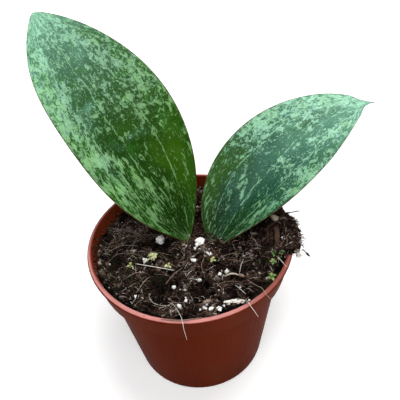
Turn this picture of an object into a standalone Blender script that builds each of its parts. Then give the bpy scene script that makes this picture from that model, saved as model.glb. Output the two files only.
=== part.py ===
# Potted hoya: a cutting with two splashed leaves, in peat, in a thin moulded nursery pot.
# Metres, +Z up. The pot stands on z = 0 with its axis on the Z axis, and -Y is its front.
import math

import bmesh
import bpy
from mathutils import Matrix, Vector, noise

MM = 0.001
GAP = 0.3 * MM              # clearance between pieces that touch
SOCKET_GAP = 0.35 * MM      # clearance round a piece that is sunk into the peat

# Pot: it tapers from the rim to the base, and the collar stands out from the wall.
POT_HEIGHT = 84.8 * MM
RIM_RADIUS = 52.5 * MM
LIP_HEIGHT = 2.2 * MM
LIP_WIDTH = 2.4 * MM
LIP_OVERHANG = 0.7 * MM
LIP_INNER_ROUND = 0.5 * MM
COLLAR_CORNER = 0.4 * MM
COLLAR_BOTTOM_Z = 70.0 * MM
COLLAR_BOTTOM_RADIUS = 49.4 * MM
WALL_TOP_RADIUS = 46.2 * MM
BASE_RADIUS = 37.2 * MM
BASE_CORNER = 2.0 * MM
BASE_RINGS = (0.3, 0.55, 0.8)   # rings across the flat underside, as shares of its radius
FLOOR_RINGS = (0.7, 0.4)    # rings across the floor inside, as shares of the base's radius
WALL = 1.2 * MM
FLOOR = 2.4 * MM
LEDGE_Z = COLLAR_BOTTOM_Z + WALL
POT_SEGMENTS = 72
DRAIN_HOLES = 8
DRAIN_RING_RADIUS = 26.0 * MM
DRAIN_HOLE_RADIUS = 3.2 * MM
DRAIN_HOLE_SEGMENTS = 24
GROOVE_DEPTH = 1.0 * MM
GROOVE_WIDTH = 2.4 * MM
GROOVE_OVERSHOOT = 5 * MM   # how far the groove's cutter passes the base

# Peat: the height of its top in the middle, and how it tips towards the right and the back.
SOIL_LEVEL = 79.6 * MM
SOIL_TILT = (0.028, -0.032)
SOIL_SEGMENTS = 60
SOIL_RINGS = 14
SOIL_GAP = 2 * GAP
SOIL_TOP_GAP = 3 * GAP      # wider round its top, which is rough
SOIL_SIDE_TOP = 2 * MM      # how far over the ledge the smooth side begins
# It drops along the wall, from a share of the rim's radius outwards.
SOIL_EDGE_DROP = 1.0 * MM
SOIL_EDGE_START = 0.84
SOIL_EDGE_WIDTH = 0.1
# Roughness: amount, size across and seed.
SOIL_LUMPS = (1.5 * MM, 9.0 * MM, 3.1)
SOIL_CRUMBS = (0.7 * MM, 4.2 * MM, 7.7)

# Heap: loose peat piled against the right of the rim and over it.
HEAP_START = math.radians(-27)
HEAP_END = math.radians(10)
HEAP_STEPS = 22
HEAP_TOP_STEPS = 7
HEAP_TOP_Z = 89.2 * MM
HEAP_OUTER_RADIUS = 57.3 * MM
HEAP_INNER_RADIUS = 37.5 * MM
HEAP_LIP_OUTER = RIM_RADIUS + 2 * GAP
HEAP_INSIDE_LIP = RIM_RADIUS - LIP_WIDTH - 2 * GAP
HEAP_LAP = 0.2 * MM         # least width of what hangs outside the lip
HEAP_HANG = 2.4 * MM        # how far it hangs down outside the lip
HEAP_HANG_RISE = 0.4 * MM   # and how much of that the outer foot gives back
HEAP_FOOT = 0.5 * MM
HEAP_SINK = 1.0 * MM
HEAP_LEAST = 1.0 * MM       # how far it at least stands over the rim
HEAP_SKEW = 1.8             # over 1 moves the crest outwards
HEAP_LEAN = 0.9             # how much less it reaches out towards its far end
HEAP_BULGE = 0.7            # under 1 makes its middle blunter, seen from above
HEAP_CREST_BULGE = 0.8      # and the same for its section
HEAP_SLOPE = 0.8            # under 1 makes the slope steepest at the foot
HEAP_END_SWELL = 0.3        # share of the full height that is left at both ends
HEAP_END_SHARE = 0.22       # share of its length over which each end runs out
HEAP_END_STAGES = (0.4, 0.6)    # of that: first it climbs inside the lip, then it crosses the lip
HEAP_END_HEIGHT = 0.3       # share of its height that is left at the very end
HEAP_WAVE = 0.16
HEAP_WAVE_TURNS = 9.0
HEAP_CRUMBS = (0.9 * MM, 4.2 * MM, 1.3)

# Cutting: the stem ends under the surface, and both leaf stalks spring from its node.
STEM_X = 5.6 * MM
STEM_Y = 1.6 * MM
STEM_RADIUS = 2.8 * MM
STEM_BOTTOM_Z = 32.0 * MM
STEM_NODE_Z = 65.5 * MM
STEM_TOP_Z = 70.0 * MM
STEM_SWELL = 0.3 * MM       # how much thicker the node is
STEM_NODE_HALF = 1 * MM
STEM_NODE_TAPER = 5 * MM    # where the swelling begins, below the node
STEM_END = 1 * MM
STEM_END_SHARE = 0.55
STEM_SEGMENTS = 20
STALK_HALF = 1.9 * MM
STALK_STATIONS = 7
STALK_PULL = (0.45, 0.25)   # how far the bend leaves straight from the blade and from the stem
LEAF_STATIONS = 28
LEAF_POINTS = 20
LEAF_HALF_THICKNESS = 0.62 * MM
LEAF_TIP_THINNING = 0.35
LEAF_EDGE_SQUARENESS = 0.5
LEAF_CUP = 1.5              # over 1 keeps the fold near the margins
TIP_HALF_WIDTH = 0.45 * MM
# How fast the round stalk fades into the flat blade: higher is faster.
STALK_WIDTH_FADE = 12
STALK_THICKNESS_FADE = 14
STALK_ROUND_FADE = 20

# A leaf starts at base, in millimetres, and runs for length. Its heading, counted from +Y towards
# +X, its rise and its roll change along it, in degrees. fold lifts both halves from the midrib.
# Each half is (width, skew, fullness, belly), as half_width uses them.
LEAVES = {
    "leaf_left": {
        "base": (-1.5, 4.2, 77.5),
        "length": 135.7,
        "rise": (60.0, -18.0),
        "heading": (-54.8, 32.6, -21.0),
        "roll": (-13.6, -1.0),
        "fold": 15.0,
        "left": (28.8, 1.11, 0.82, 0.13),
        "right": (33.2, 0.99, 0.75, 0.02),
        "drip_tip": 0.8,
        "stem_side": -1,
    },
    "leaf_right": {
        "base": (12.8, -0.2, 75.0),
        "length": 109.7,
        "rise": (45.9, -30.1),
        "heading": (56.5, -12.9, 49.8),
        "roll": (14.9, 0.3),
        "fold": 14.0,
        "left": (27.1, 0.85, 0.71, 0.02),
        "right": (24.4, 1.24, 0.72, 0.04),
        "drip_tip": 4.2,
        "stem_side": 1,
    },
}

# Perlite grains: x, y and size, in millimetres.
PERLITE = (
    (-15.3, 4.1, 4.6), (5.0, -1.2, 5.4), (9.3, -9.8, 2.4), (0.4, -12.4, 2.4), (2.3, -26.0, 2.6),
    (-10.2, -27.9, 1.8), (-5.0, -37.9, 2.0), (-8.1, -40.6, 2.4), (3.0, -42.2, 2.6), (9.7, -44.6, 2.8),
    (6.1, -44.2, 2.3), (12.3, -23.2, 1.7), (16.2, -22.9, 2.2), (-28.6, -30.9, 1.7), (-23.7, -8.0, 2.5),
)

# Seedlings: x, y, spread of the two seed leaves in millimetres, and their heading in degrees.
SEEDLINGS = (
    (-19.4, -5.7, 4.6, 20.0), (-11.9, -14.3, 3.6, 70.0), (10.2, -15.0, 3.4, -30.0),
    (36.6, -30.0, 4.4, 15.0), (38.9, -21.3, 3.4, 25.0), (-31.0, -10.2, 3.6, 75.0),
)

# Loose chips: x, y, heading in degrees, then length, width and thickness in millimetres.
CHIPS = {
    "bark_strip": (43.9, -8.0, -101.5, 12.8, 3.0, 1.5),
    "pale_seed": (45.0, 3.9, -79.0, 5.4, 2.4, 2.0),
    "wood_splinter": (17.4, -41.0, -5.0, 10.4, 2.2, 1.4),
    "tan_chip": (4.7, -38.8, 3.0, 4.0, 1.8, 1.0),
}

# Twigs and roots that lie on the peat: radius, then points as x, y and lift over it, in millimetres.
LYING = {
    "dry_stalk": (0.32, ((-28.4, -9.8, 1.0), (-18.7, -13.0, 1.6), (-9.3, -17.7, 0.9))),
    "dark_twig": (0.36, ((-13.9, -26.0, 0.8), (-9.8, -20.5, 1.4), (-5.2, -16.6, 0.9))),
    "grey_stick": (0.6, ((14.8, -25.6, 1.0), (18.0, -26.0, 1.3), (21.7, -27.2, 1.1))),
    "root_front_left": (0.28, ((-22.2, -31.1, 0.7), (-20.2, -36.2, 1.0), (-16.6, -37.6, 1.0),
                               (-12.6, -38.8, 0.8))),
}

# Straws and roots that pass over the rim or stand out: radius, then points as x, y and z.
FREE = {
    "straw_on_rim": (0.35, ((22.1, -44.1, 85.3), (22.6, -46.4, 86.0), (25.4, -54.1, 86.2))),
    "root_over_rim": (0.35, ((-11.3, -38.3, 82.2), (-9.4, -42.8, 83.2), (-8.0, -47.6, 84.9),
                             (-7.5, -50.4, 85.8), (-7.2, -52.6, 85.6), (-7.1, -53.6, 83.6),
                             (-6.9, -53.2, 79.6), (-6.5, -52.4, 73.2))),
    "root_front_right": (0.3, ((24.8, -30.1, 82.2), (28.2, -35.4, 83.8), (29.9, -38.5, 85.5),
                               (31.2, -42.9, 86.0), (32.6, -45.6, 86.0))),
    "root_right_low": (0.3, ((53.4, -18.3, 86.2), (54.4, -19.4, 85.8), (55.4, -20.5, 84.8))),
    "root_right_high": (0.3, ((50.4, 8.7, 85.5), (52.0, 8.9, 85.5), (55.9, 8.4, 85.7), (60.3, 8.4, 85.9))),
}

GRAIN_LIFT = 0.12           # share of its size by which a grain's middle stands over the ground
GRAIN_SHAPE = (1.0, 0.86, 0.78)
GRAIN_LUMPS = 0.28
GRAIN_LUMPS_ACROSS = 2.6
CHIP_LIFT = 0.2             # the same for a chip, as a share of its thickness
CHIP_END = 0.35             # width of a chip's end, as a share of its middle
CHIP_SQUARENESS = 0.6
CHIP_REST = 0.4             # the ground is felt this share of the length from the middle
CHIP_STATIONS = 6
CHIP_POINTS = 10
SEEDLING_LIFT = 1.6 * MM
SEEDLING_STATIONS = 10
SEEDLING_POINTS = 8
SEEDLING_HALF_THICKNESS = 0.25 * MM
SEEDLING_WAIST = 0.12       # half widths of a seedling, as shares of its spread
SEEDLING_LOBE = 0.2
SEEDLING_RISE = 0.3
SEEDLING_BEND = 1.4         # over 1 bends the seed leaves up towards their tips
SEEDLING_TIP = 0.05         # where on a half wave a seed leaf begins and ends
STRAND_STEPS = 4
STRAND_SIDES = 6


def clear_scene():
    for obj in list(bpy.data.objects):
        bpy.data.objects.remove(obj, do_unlink=True)


def make_material(name, colour, roughness):
    material = bpy.data.materials.new(name)
    material.use_nodes = True
    shader = material.node_tree.nodes["Principled BSDF"]
    shader.inputs["Base Color"].default_value = (*colour, 1.0)
    shader.inputs["Roughness"].default_value = roughness
    shader.inputs["Metallic"].default_value = 0.0
    return material


def mesh_object(name, bm, material, sharp_degrees=40.0):
    bmesh.ops.recalc_face_normals(bm, faces=bm.faces)
    mesh = bpy.data.meshes.new(name)
    bm.to_mesh(mesh)
    bm.free()
    mesh.shade_smooth()
    mesh.set_sharp_from_angle(angle=math.radians(sharp_degrees))
    mesh.materials.append(material)
    obj = bpy.data.objects.new(name, mesh)
    bpy.context.collection.objects.link(obj)
    return obj


def loft(bm, rings, hollow_ends=False):
    """Joins rings of equal length one after another and closes both ends.
    A fan closes a round end, and a single face closes one with a hollow outline."""
    loops = [[bm.verts.new(point) for point in ring] for ring in rings]
    count = len(loops[0])
    for lower, upper in zip(loops, loops[1:]):
        for i in range(count):
            j = (i + 1) % count
            bm.faces.new((lower[i], lower[j], upper[j], upper[i]))
    if hollow_ends:
        bm.faces.new(loops[0])
        bm.faces.new(loops[-1])
        return
    for loop in (loops[0], loops[-1]):
        middle = bm.verts.new(sum((v.co for v in loop), Vector()) / count)
        for i in range(count):
            bm.faces.new((loop[i], loop[(i + 1) % count], middle))


def turned(profile, segments):
    """The circles of a profile of (radius, z) points turned about the Z axis."""
    angles = [2 * math.pi * i / segments for i in range(segments)]
    return [[Vector((r * math.cos(a), r * math.sin(a), z)) for a in angles] for r, z in profile]


def arc(centre, radius, start, end, steps):
    """Points of an arc in the (radius, z) plane, its angles in degrees."""
    angles = [math.radians(start + (end - start) * i / steps) for i in range(steps + 1)]
    return [(centre[0] + radius * math.cos(a), centre[1] + radius * math.sin(a)) for a in angles]


def along(coefficients, s):
    """A polynomial in s, its constant first."""
    return sum(c * s ** power for power, c in enumerate(coefficients))


def smooth_path(points, steps):
    """Points along a smooth curve through the given ones, a number of steps between each two."""
    ends = [2 * points[0] - points[1], *points, 2 * points[-1] - points[-2]]
    path = []
    for a, b, c, d in zip(ends, ends[1:], ends[2:], ends[3:]):
        for i in range(steps):
            t = i / steps
            path.append(0.5 * (2 * b + (c - a) * t + (2 * a - 5 * b + 4 * c - d) * t ** 2
                               + (3 * b - a - 3 * c + d) * t ** 3))
    return path + [points[-1]]


def tube_rings(path, radius, sides):
    rings = []
    side = Vector((0, 0, 1)).cross(path[1] - path[0]).normalized()
    for i, point in enumerate(path):
        forward = (path[min(i + 1, len(path) - 1)] - path[max(i - 1, 0)]).normalized()
        side = (side - forward * side.dot(forward)).normalized()
        up = forward.cross(side)
        angles = [2 * math.pi * k / sides for k in range(sides)]
        rings.append([point + radius * (math.cos(a) * side + math.sin(a) * up) for a in angles])
    return rings


def cut(target, cutter, label):
    cutter.hide_render = True
    cutter.display_type = "WIRE"
    modifier = target.modifiers.new(label, "BOOLEAN")
    modifier.operation = "DIFFERENCE"
    modifier.solver = "EXACT"
    modifier.object = cutter


def grown_cutter(name, pieces, material):
    """A cutter of the pieces' shapes, each pushed out by the socket clearance."""
    bm = bmesh.new()
    for piece in pieces:
        old = len(bm.verts)
        bm.from_mesh(piece.data)
        bm.normal_update()
        bm.verts.ensure_lookup_table()
        for vertex in bm.verts[old:]:
            vertex.co += vertex.normal * SOCKET_GAP
    return mesh_object(name, bm, material)


# Pot

def pot_inner_radius(z):
    """Radius of the inside of the wall or the collar at a height."""
    if z >= LEDGE_Z:
        share = (z - LEDGE_Z) / (POT_HEIGHT - LEDGE_Z)
        bottom = COLLAR_BOTTOM_RADIUS - WALL
        return bottom + share * (RIM_RADIUS - LIP_WIDTH - bottom)
    share = (z - FLOOR) / (LEDGE_Z - FLOOR)
    return BASE_RADIUS - WALL + share * (WALL_TOP_RADIUS - BASE_RADIUS)


def pot_profile():
    """Out along the base, up the outside, over the lip and down the inside."""
    lip_bottom = POT_HEIGHT - LIP_HEIGHT
    lip_round = LIP_HEIGHT / 2
    outside = [(BASE_RADIUS * share, 0.0) for share in BASE_RINGS]
    outside += arc((BASE_RADIUS - BASE_CORNER, BASE_CORNER), BASE_CORNER, -90, 0, 4)
    outside += [
        (WALL_TOP_RADIUS, COLLAR_BOTTOM_Z - COLLAR_CORNER),
        (WALL_TOP_RADIUS + COLLAR_CORNER, COLLAR_BOTTOM_Z),
        (COLLAR_BOTTOM_RADIUS - COLLAR_CORNER, COLLAR_BOTTOM_Z),
        (COLLAR_BOTTOM_RADIUS, COLLAR_BOTTOM_Z + COLLAR_CORNER),
        (RIM_RADIUS - LIP_OVERHANG, lip_bottom - COLLAR_CORNER),
    ]
    outside += arc((RIM_RADIUS - lip_round, POT_HEIGHT - lip_round), lip_round, -20, 90, 5)
    lip_inner = RIM_RADIUS - LIP_WIDTH
    inside = arc((lip_inner + LIP_INNER_ROUND, POT_HEIGHT - LIP_INNER_ROUND), LIP_INNER_ROUND, 90, 180, 3)
    inside += [
        (pot_inner_radius(LEDGE_Z), LEDGE_Z),
        (WALL_TOP_RADIUS - WALL, LEDGE_Z),
        (pot_inner_radius(FLOOR + BASE_CORNER), FLOOR + BASE_CORNER),
        (pot_inner_radius(FLOOR) - BASE_CORNER, FLOOR),
    ]
    inside += [(BASE_RADIUS * share, FLOOR) for share in FLOOR_RINGS]
    return outside + inside


def add_hole(bm):
    place = Matrix.Translation((DRAIN_RING_RADIUS, 0, FLOOR / 2))
    bmesh.ops.create_cone(bm, cap_ends=True, segments=DRAIN_HOLE_SEGMENTS, radius1=DRAIN_HOLE_RADIUS,
                          radius2=DRAIN_HOLE_RADIUS, depth=FLOOR * 3, matrix=place)


def add_groove(bm):
    """A channel under the base, from the drain ring out past the corner."""
    length = BASE_RADIUS + GROOVE_OVERSHOOT - DRAIN_RING_RADIUS
    place = Matrix.Translation((DRAIN_RING_RADIUS + length / 2, 0, 0))
    size = Matrix.Diagonal((length, GROOVE_WIDTH, 2 * GROOVE_DEPTH, 1))
    bmesh.ops.create_cube(bm, size=1.0, matrix=place @ size)


def repeated_cutter(name, add_shape, material):
    """One cutter with a copy of the shape at each drain hole."""
    bm = bmesh.new()
    for i in range(DRAIN_HOLES):
        old = set(bm.verts)
        add_shape(bm)
        turn = Matrix.Rotation(2 * math.pi * (i + 0.5) / DRAIN_HOLES, 4, "Z")
        bmesh.ops.transform(bm, matrix=turn, verts=[v for v in bm.verts if v not in old])
    return mesh_object(name, bm, material)


def build_pot(material):
    bm = bmesh.new()
    loft(bm, turned(pot_profile(), POT_SEGMENTS))
    pot = mesh_object("pot", bm, material)
    cut(pot, repeated_cutter("drain_hole_cutter", add_hole, material), "drain holes")
    cut(pot, repeated_cutter("groove_cutter", add_groove, material), "drain grooves")


# Peat

def soil_edge_radius():
    return pot_inner_radius(SOIL_LEVEL) - SOIL_TOP_GAP


def bump(x, y, roughness):
    amount, size, seed = roughness
    return amount * noise.noise(Vector((x / size, y / size, seed)))


def soil_z(x, y):
    """Height of the top of the peat, lower along the wall of the pot."""
    tilt = SOIL_TILT[0] * x + SOIL_TILT[1] * y
    edge = (math.hypot(x, y) / RIM_RADIUS - SOIL_EDGE_START) / SOIL_EDGE_WIDTH
    drop = SOIL_EDGE_DROP * min(1.0, max(0.0, edge))
    return SOIL_LEVEL + tilt + bump(x, y, SOIL_LUMPS) + bump(x, y, SOIL_CRUMBS) - drop


def build_soil(material):
    edge = soil_edge_radius()
    top = turned([(edge * (i + 1) / SOIL_RINGS, 0.0) for i in range(SOIL_RINGS)], SOIL_SEGMENTS)
    for ring in top:
        for point in ring:
            point.z = soil_z(point.x, point.y)
    over_ledge_z = LEDGE_Z + SOIL_SIDE_TOP
    middle_z = (LEDGE_Z + FLOOR) / 2
    corner_z = FLOOR + BASE_CORNER
    side = (
        (pot_inner_radius(over_ledge_z) - SOIL_GAP, over_ledge_z),
        (pot_inner_radius(LEDGE_Z) - SOIL_GAP, LEDGE_Z + GAP),
        (WALL_TOP_RADIUS - WALL - SOIL_GAP, LEDGE_Z + GAP),
        (pot_inner_radius(middle_z) - SOIL_GAP, middle_z),
        (pot_inner_radius(corner_z) - SOIL_GAP, corner_z),
        (pot_inner_radius(FLOOR) - BASE_CORNER - GAP, FLOOR + GAP),
    )
    bm = bmesh.new()
    loft(bm, top + turned(side, SOIL_SEGMENTS))
    return mesh_object("soil", bm, material)


def heap_end_stages(angle):
    """How far each stage of an end is done, from 0 at the very end to 1: climb, crossing and hang."""
    share = (angle - HEAP_START) / (HEAP_END - HEAP_START)
    done = max(0.0, min(share, 1.0 - share) / HEAP_END_SHARE)
    climbed, crossed = HEAP_END_STAGES
    stages = ((0.0, climbed), (climbed, crossed), (crossed, 1.0))
    return [min(1.0, max(0.0, (done - first) / (last - first))) for first, last in stages]


def heap_shape(angle):
    """How much the heap swells at an angle, and its inner and outer radius there."""
    share = (angle - HEAP_START) / (HEAP_END - HEAP_START)
    middle = math.sin(math.pi * min(1.0, max(0.0, share)))
    swell = HEAP_END_SWELL + (1.0 - HEAP_END_SWELL) * middle ** HEAP_BULGE
    wave = 1.0 + HEAP_WAVE * math.sin(HEAP_WAVE_TURNS * angle + 1.0)
    inner = HEAP_INNER_RADIUS + (soil_edge_radius() - HEAP_INNER_RADIUS) * (1.0 - swell)
    _, crossing, hanging = heap_end_stages(angle)
    full = (HEAP_OUTER_RADIUS - HEAP_LIP_OUTER) * swell * wave * (1.0 - HEAP_LEAN * share ** 2)
    outer = HEAP_INSIDE_LIP + (HEAP_LIP_OUTER - HEAP_INSIDE_LIP) * crossing + full * hanging
    return swell * wave, inner, outer


def heap_top_z(radius, angle):
    """Top of the heap: it rises from the peat to a crest over the rim, and falls outside it."""
    swell, inner, outer = heap_shape(angle)
    share = (radius - inner) / (outer - inner)
    foot = soil_z(inner * math.cos(angle), inner * math.sin(angle)) + HEAP_FOOT
    edge = POT_HEIGHT + HEAP_LEAST
    crest = (HEAP_TOP_Z - POT_HEIGHT) * swell * math.sin(math.pi * share ** HEAP_SKEW) ** HEAP_CREST_BULGE
    rough = bump(radius * math.cos(angle), radius * math.sin(angle), HEAP_CRUMBS)
    height = foot + (edge - foot) * share ** HEAP_SLOPE + crest + rough * math.sin(math.pi * share)
    if radius > soil_edge_radius() - HEAP_LEAST:
        height = max(height, edge)
    sunk = (1.0 - HEAP_END_HEIGHT) * (1.0 - heap_end_stages(angle)[0])
    return height + (foot - height) * sunk


def heap_section(angle):
    """Outline of the heap at an angle, as radii and heights: its underside, then back over its top.

    Towards both ends the part that hangs outside the lip is drawn up, then the heap draws back
    over the lip, and last it sinks to the peat inside the lip.
    """
    _, inner, outer = heap_shape(angle)
    climb, crossing, hanging = heap_end_stages(angle)
    edge = soil_edge_radius()
    foot = soil_z(edge * math.cos(angle), edge * math.sin(angle))
    under = foot + (POT_HEIGHT + GAP - foot) * climb
    hang = HEAP_HANG * hanging
    if crossing == 0.0:
        lip_outer = outer - HEAP_FOOT
    else:
        lip_outer = min(outer - HEAP_LAP, HEAP_LIP_OUTER)
    peat = [
        (r, soil_z(r * math.cos(angle), r * math.sin(angle)) - HEAP_SINK)
        for r in (inner, (inner + edge) / 2, edge)
    ]
    over_lip = [
        (edge, under),
        (lip_outer, under),
        (lip_outer, under - hang),
        (max(lip_outer + HEAP_LAP / 2, outer - HEAP_FOOT), under - hang + HEAP_HANG_RISE * hanging),
    ]
    steps = [i / HEAP_TOP_STEPS for i in range(HEAP_TOP_STEPS + 1)]
    top = [(outer + (inner - outer) * s, heap_top_z(outer + (inner - outer) * s, angle)) for s in steps]
    return peat + over_lip + top


def build_heap(material):
    rings = []
    for i in range(HEAP_STEPS + 1):
        angle = HEAP_START + (HEAP_END - HEAP_START) * i / HEAP_STEPS
        rings.append([Vector((r * math.cos(angle), r * math.sin(angle), z)) for r, z in heap_section(angle)])
    bm = bmesh.new()
    loft(bm, rings, hollow_ends=True)
    return mesh_object("soil_heap", bm, material)


def ground_z(x, y):
    """Height of the peat or the heap, whichever a loose piece lies on."""
    radius, angle = math.hypot(x, y), math.atan2(y, x)
    if HEAP_START < angle < HEAP_END:
        _, inner, outer = heap_shape(angle)
        if inner < radius < outer:
            return max(soil_z(x, y), heap_top_z(radius, angle))
    return soil_z(x, y)


# Cutting

def half_width(half, s):
    """Half the width of a blade at a share s of its length."""
    width, skew, fullness, belly = half
    turn = math.pi * s ** skew
    return width * MM * math.sin(min(turn, math.pi)) ** fullness * (1 + belly * math.cos(2 * turn))


def lens_ring(centre, side, up, left, right, thick, fold=0.0, flatness=1.0, points=LEAF_POINTS):
    """A closed ring round a blade. fold lifts its margins, and flatness squares its edges."""
    ring = []
    for i in range(points):
        angle = 2 * math.pi * i / points
        across, rise = math.cos(angle), math.sin(angle)
        width = right if across > 0 else left
        lift = width * abs(across) ** LEAF_CUP * math.sin(fold)
        depth = thick * math.copysign(abs(rise) ** flatness, rise)
        ring.append(centre + side * across * width * math.cos(fold) + up * (lift + depth))
    return ring


def leaf_frame(leaf, s):
    """Direction of the midrib, and the directions across and up from the blade, at s."""
    heading = math.radians(along(leaf["heading"], s))
    rise = math.radians(along(leaf["rise"], s))
    forward = Vector((math.sin(heading) * math.cos(rise), math.cos(heading) * math.cos(rise), math.sin(rise)))
    across = Vector((math.cos(heading), -math.sin(heading), 0))
    turn = Matrix.Rotation(math.radians(along(leaf["roll"], s)), 3, forward)
    return forward, turn @ across, turn @ across.cross(forward)


def leaf_rings(leaf):
    """Rings from the tip of the leaf down to the foot of its stalk on the stem."""
    length = leaf["length"] * MM
    shares = [(1 - math.cos(math.pi * i / LEAF_STATIONS)) / 2 for i in range(LEAF_STATIONS + 1)]
    point = Vector(leaf["base"]) * MM
    fold = math.radians(leaf["fold"])
    rings = []
    for i, s in enumerate(shares):
        forward, side, up = leaf_frame(leaf, s)
        if i:
            point = point + (forward + last) * (s - shares[i - 1]) * length / 2
        last = forward
        stalk = STALK_HALF * (1 - s) ** STALK_WIDTH_FADE
        left = math.hypot(half_width(leaf["left"], s), stalk) + TIP_HALF_WIDTH * s
        right = math.hypot(half_width(leaf["right"], s), stalk) + TIP_HALF_WIDTH * s
        flatness = LEAF_EDGE_SQUARENESS + (1 - LEAF_EDGE_SQUARENESS) * (1 - s) ** STALK_ROUND_FADE
        thick = LEAF_HALF_THICKNESS * (1 - LEAF_TIP_THINNING * s)
        thick += (STALK_HALF - LEAF_HALF_THICKNESS) * (1 - s) ** STALK_THICKNESS_FADE
        rings.append(lens_ring(point, side, up, left, right, thick, fold, flatness))
    tip = TIP_HALF_WIDTH / 2
    rings.append(lens_ring(point + forward * leaf["drip_tip"] * MM, side, up, tip, tip, tip))
    return rings[::-1] + stalk_rings(leaf)


def stalk_rings(leaf):
    """The stalk bends from the base of the blade to the side of the stem."""
    start = Vector(leaf["base"]) * MM
    forward, side, _ = leaf_frame(leaf, 0.0)
    outward = Vector((leaf["stem_side"], 0, 0))
    end = Vector((STEM_X, STEM_Y, STEM_NODE_Z)) + outward * (STEM_RADIUS + SOCKET_GAP)
    reach = (start - end).length
    from_blade, from_stem = STALK_PULL
    bend = (start, start - forward * from_blade * reach, end + outward * from_stem * reach, end)
    rings = []
    for i in range(1, STALK_STATIONS + 1):
        t = i / STALK_STATIONS
        weights = ((1 - t) ** 3, 3 * t * (1 - t) ** 2, 3 * t * t * (1 - t), t ** 3)
        point = sum((p * w for p, w in zip(bend, weights)), Vector())
        direction = forward.lerp(outward, t).normalized()
        across = (side - direction * side.dot(direction)).normalized()
        up = across.cross(direction)
        rings.append(lens_ring(point, across, up, STALK_HALF, STALK_HALF, STALK_HALF))
    return rings


def build_leaf(name, leaf, material):
    bm = bmesh.new()
    loft(bm, leaf_rings(leaf))
    return mesh_object(name, bm, material)


def build_stem(material):
    """A short cut stem with a swollen node and rounded ends."""
    slim = STEM_RADIUS - STEM_SWELL
    profile = [
        (STEM_RADIUS * STEM_END_SHARE, STEM_BOTTOM_Z),
        (slim, STEM_BOTTOM_Z + STEM_END),
        (slim, STEM_NODE_Z - STEM_NODE_TAPER),
        (STEM_RADIUS, STEM_NODE_Z - STEM_NODE_HALF),
        (STEM_RADIUS, STEM_NODE_Z + STEM_NODE_HALF),
        (slim, STEM_TOP_Z - STEM_END),
        (STEM_RADIUS * STEM_END_SHARE, STEM_TOP_Z),
    ]
    rings = turned(profile, STEM_SEGMENTS)
    for ring in rings:
        for point in ring:
            point.x += STEM_X
            point.y += STEM_Y
    bm = bmesh.new()
    loft(bm, rings)
    return mesh_object("stem", bm, material)


# Loose pieces on the peat

def build_grain(name, x, y, size, material):
    """A lumpy grain, a little sunk into the peat."""
    centre = Vector((x, y, 0)) * MM
    centre.z = ground_z(centre.x, centre.y) + GRAIN_LIFT * size * MM
    bm = bmesh.new()
    bmesh.ops.create_icosphere(bm, subdivisions=2, radius=size * MM / 2)
    for vertex in bm.verts:
        lump = noise.noise(GRAIN_LUMPS_ACROSS * vertex.co / (size * MM) + centre / MM)
        vertex.co = vertex.co * Vector(GRAIN_SHAPE) * (1 + GRAIN_LUMPS * lump) + centre
    return mesh_object(name, bm, material)


def build_chip(name, chip, material):
    """A flat chip with tapering ends, laid along the slope of the ground."""
    x, y, heading, length, width, thickness = chip
    turn = math.radians(heading)
    forward = Vector((math.cos(turn), math.sin(turn), 0))
    ends = []
    for share in (-CHIP_REST, CHIP_REST):
        place = Vector((x, y, 0)) * MM + forward * share * length * MM
        ends.append(Vector((place.x, place.y, ground_z(place.x, place.y) + CHIP_LIFT * thickness * MM)))
    slope = (ends[1] - ends[0]).normalized()
    middle = (ends[0] + ends[1]) / 2
    across = slope.cross(Vector((0, 0, 1))).normalized()
    up = across.cross(slope)
    rings = []
    for i in range(CHIP_STATIONS + 1):
        s = i / CHIP_STATIONS
        taper = CHIP_END + (1 - CHIP_END) * math.sqrt(max(0.0, math.sin(math.pi * s)))
        point = middle + slope * (s - 0.5) * length * MM
        half = width * MM / 2 * taper
        thick = thickness * MM / 2 * taper
        rings.append(lens_ring(point, across, up, half, half, thick,
                               flatness=CHIP_SQUARENESS, points=CHIP_POINTS))
    bm = bmesh.new()
    loft(bm, rings)
    return mesh_object(name, bm, material)


def build_seedling(name, x, y, spread, heading, material):
    """Two seed leaves raised in a shallow V from a narrow waist."""
    turn = math.radians(heading)
    forward = Vector((math.cos(turn), math.sin(turn), 0))
    across = Vector((math.sin(turn), -math.cos(turn), 0))
    up = Vector((0, 0, 1))
    foot = Vector((x, y, 0)) * MM
    foot.z = ground_z(foot.x, foot.y) + SEEDLING_LIFT
    rings = []
    for i in range(SEEDLING_STATIONS + 1):
        along_leaf = 2 * i / SEEDLING_STATIONS - 1
        lobe = math.sin(math.pi * (SEEDLING_TIP + (1 - 2 * SEEDLING_TIP) * abs(along_leaf)))
        half = (SEEDLING_WAIST + SEEDLING_LOBE * lobe) * spread * MM
        rise = SEEDLING_RISE * abs(along_leaf) ** SEEDLING_BEND * spread * MM
        point = foot + forward * along_leaf * spread * MM / 2 + Vector((0, 0, rise))
        rings.append(lens_ring(point, across, up, half, half, SEEDLING_HALF_THICKNESS,
                               points=SEEDLING_POINTS))
    bm = bmesh.new()
    loft(bm, rings)
    return mesh_object(name, bm, material)


def build_strand(name, radius, path, material):
    bm = bmesh.new()
    loft(bm, tube_rings(path, radius * MM, STRAND_SIDES))
    return mesh_object(name, bm, material)


def free_path(points):
    return smooth_path([Vector(p) * MM for p in points], STRAND_STEPS)


def lying_path(points):
    """A smooth path over the peat, from points whose third value is the lift over it."""
    return [Vector((p.x, p.y, ground_z(p.x, p.y) + p.z)) for p in free_path(points)]


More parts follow.
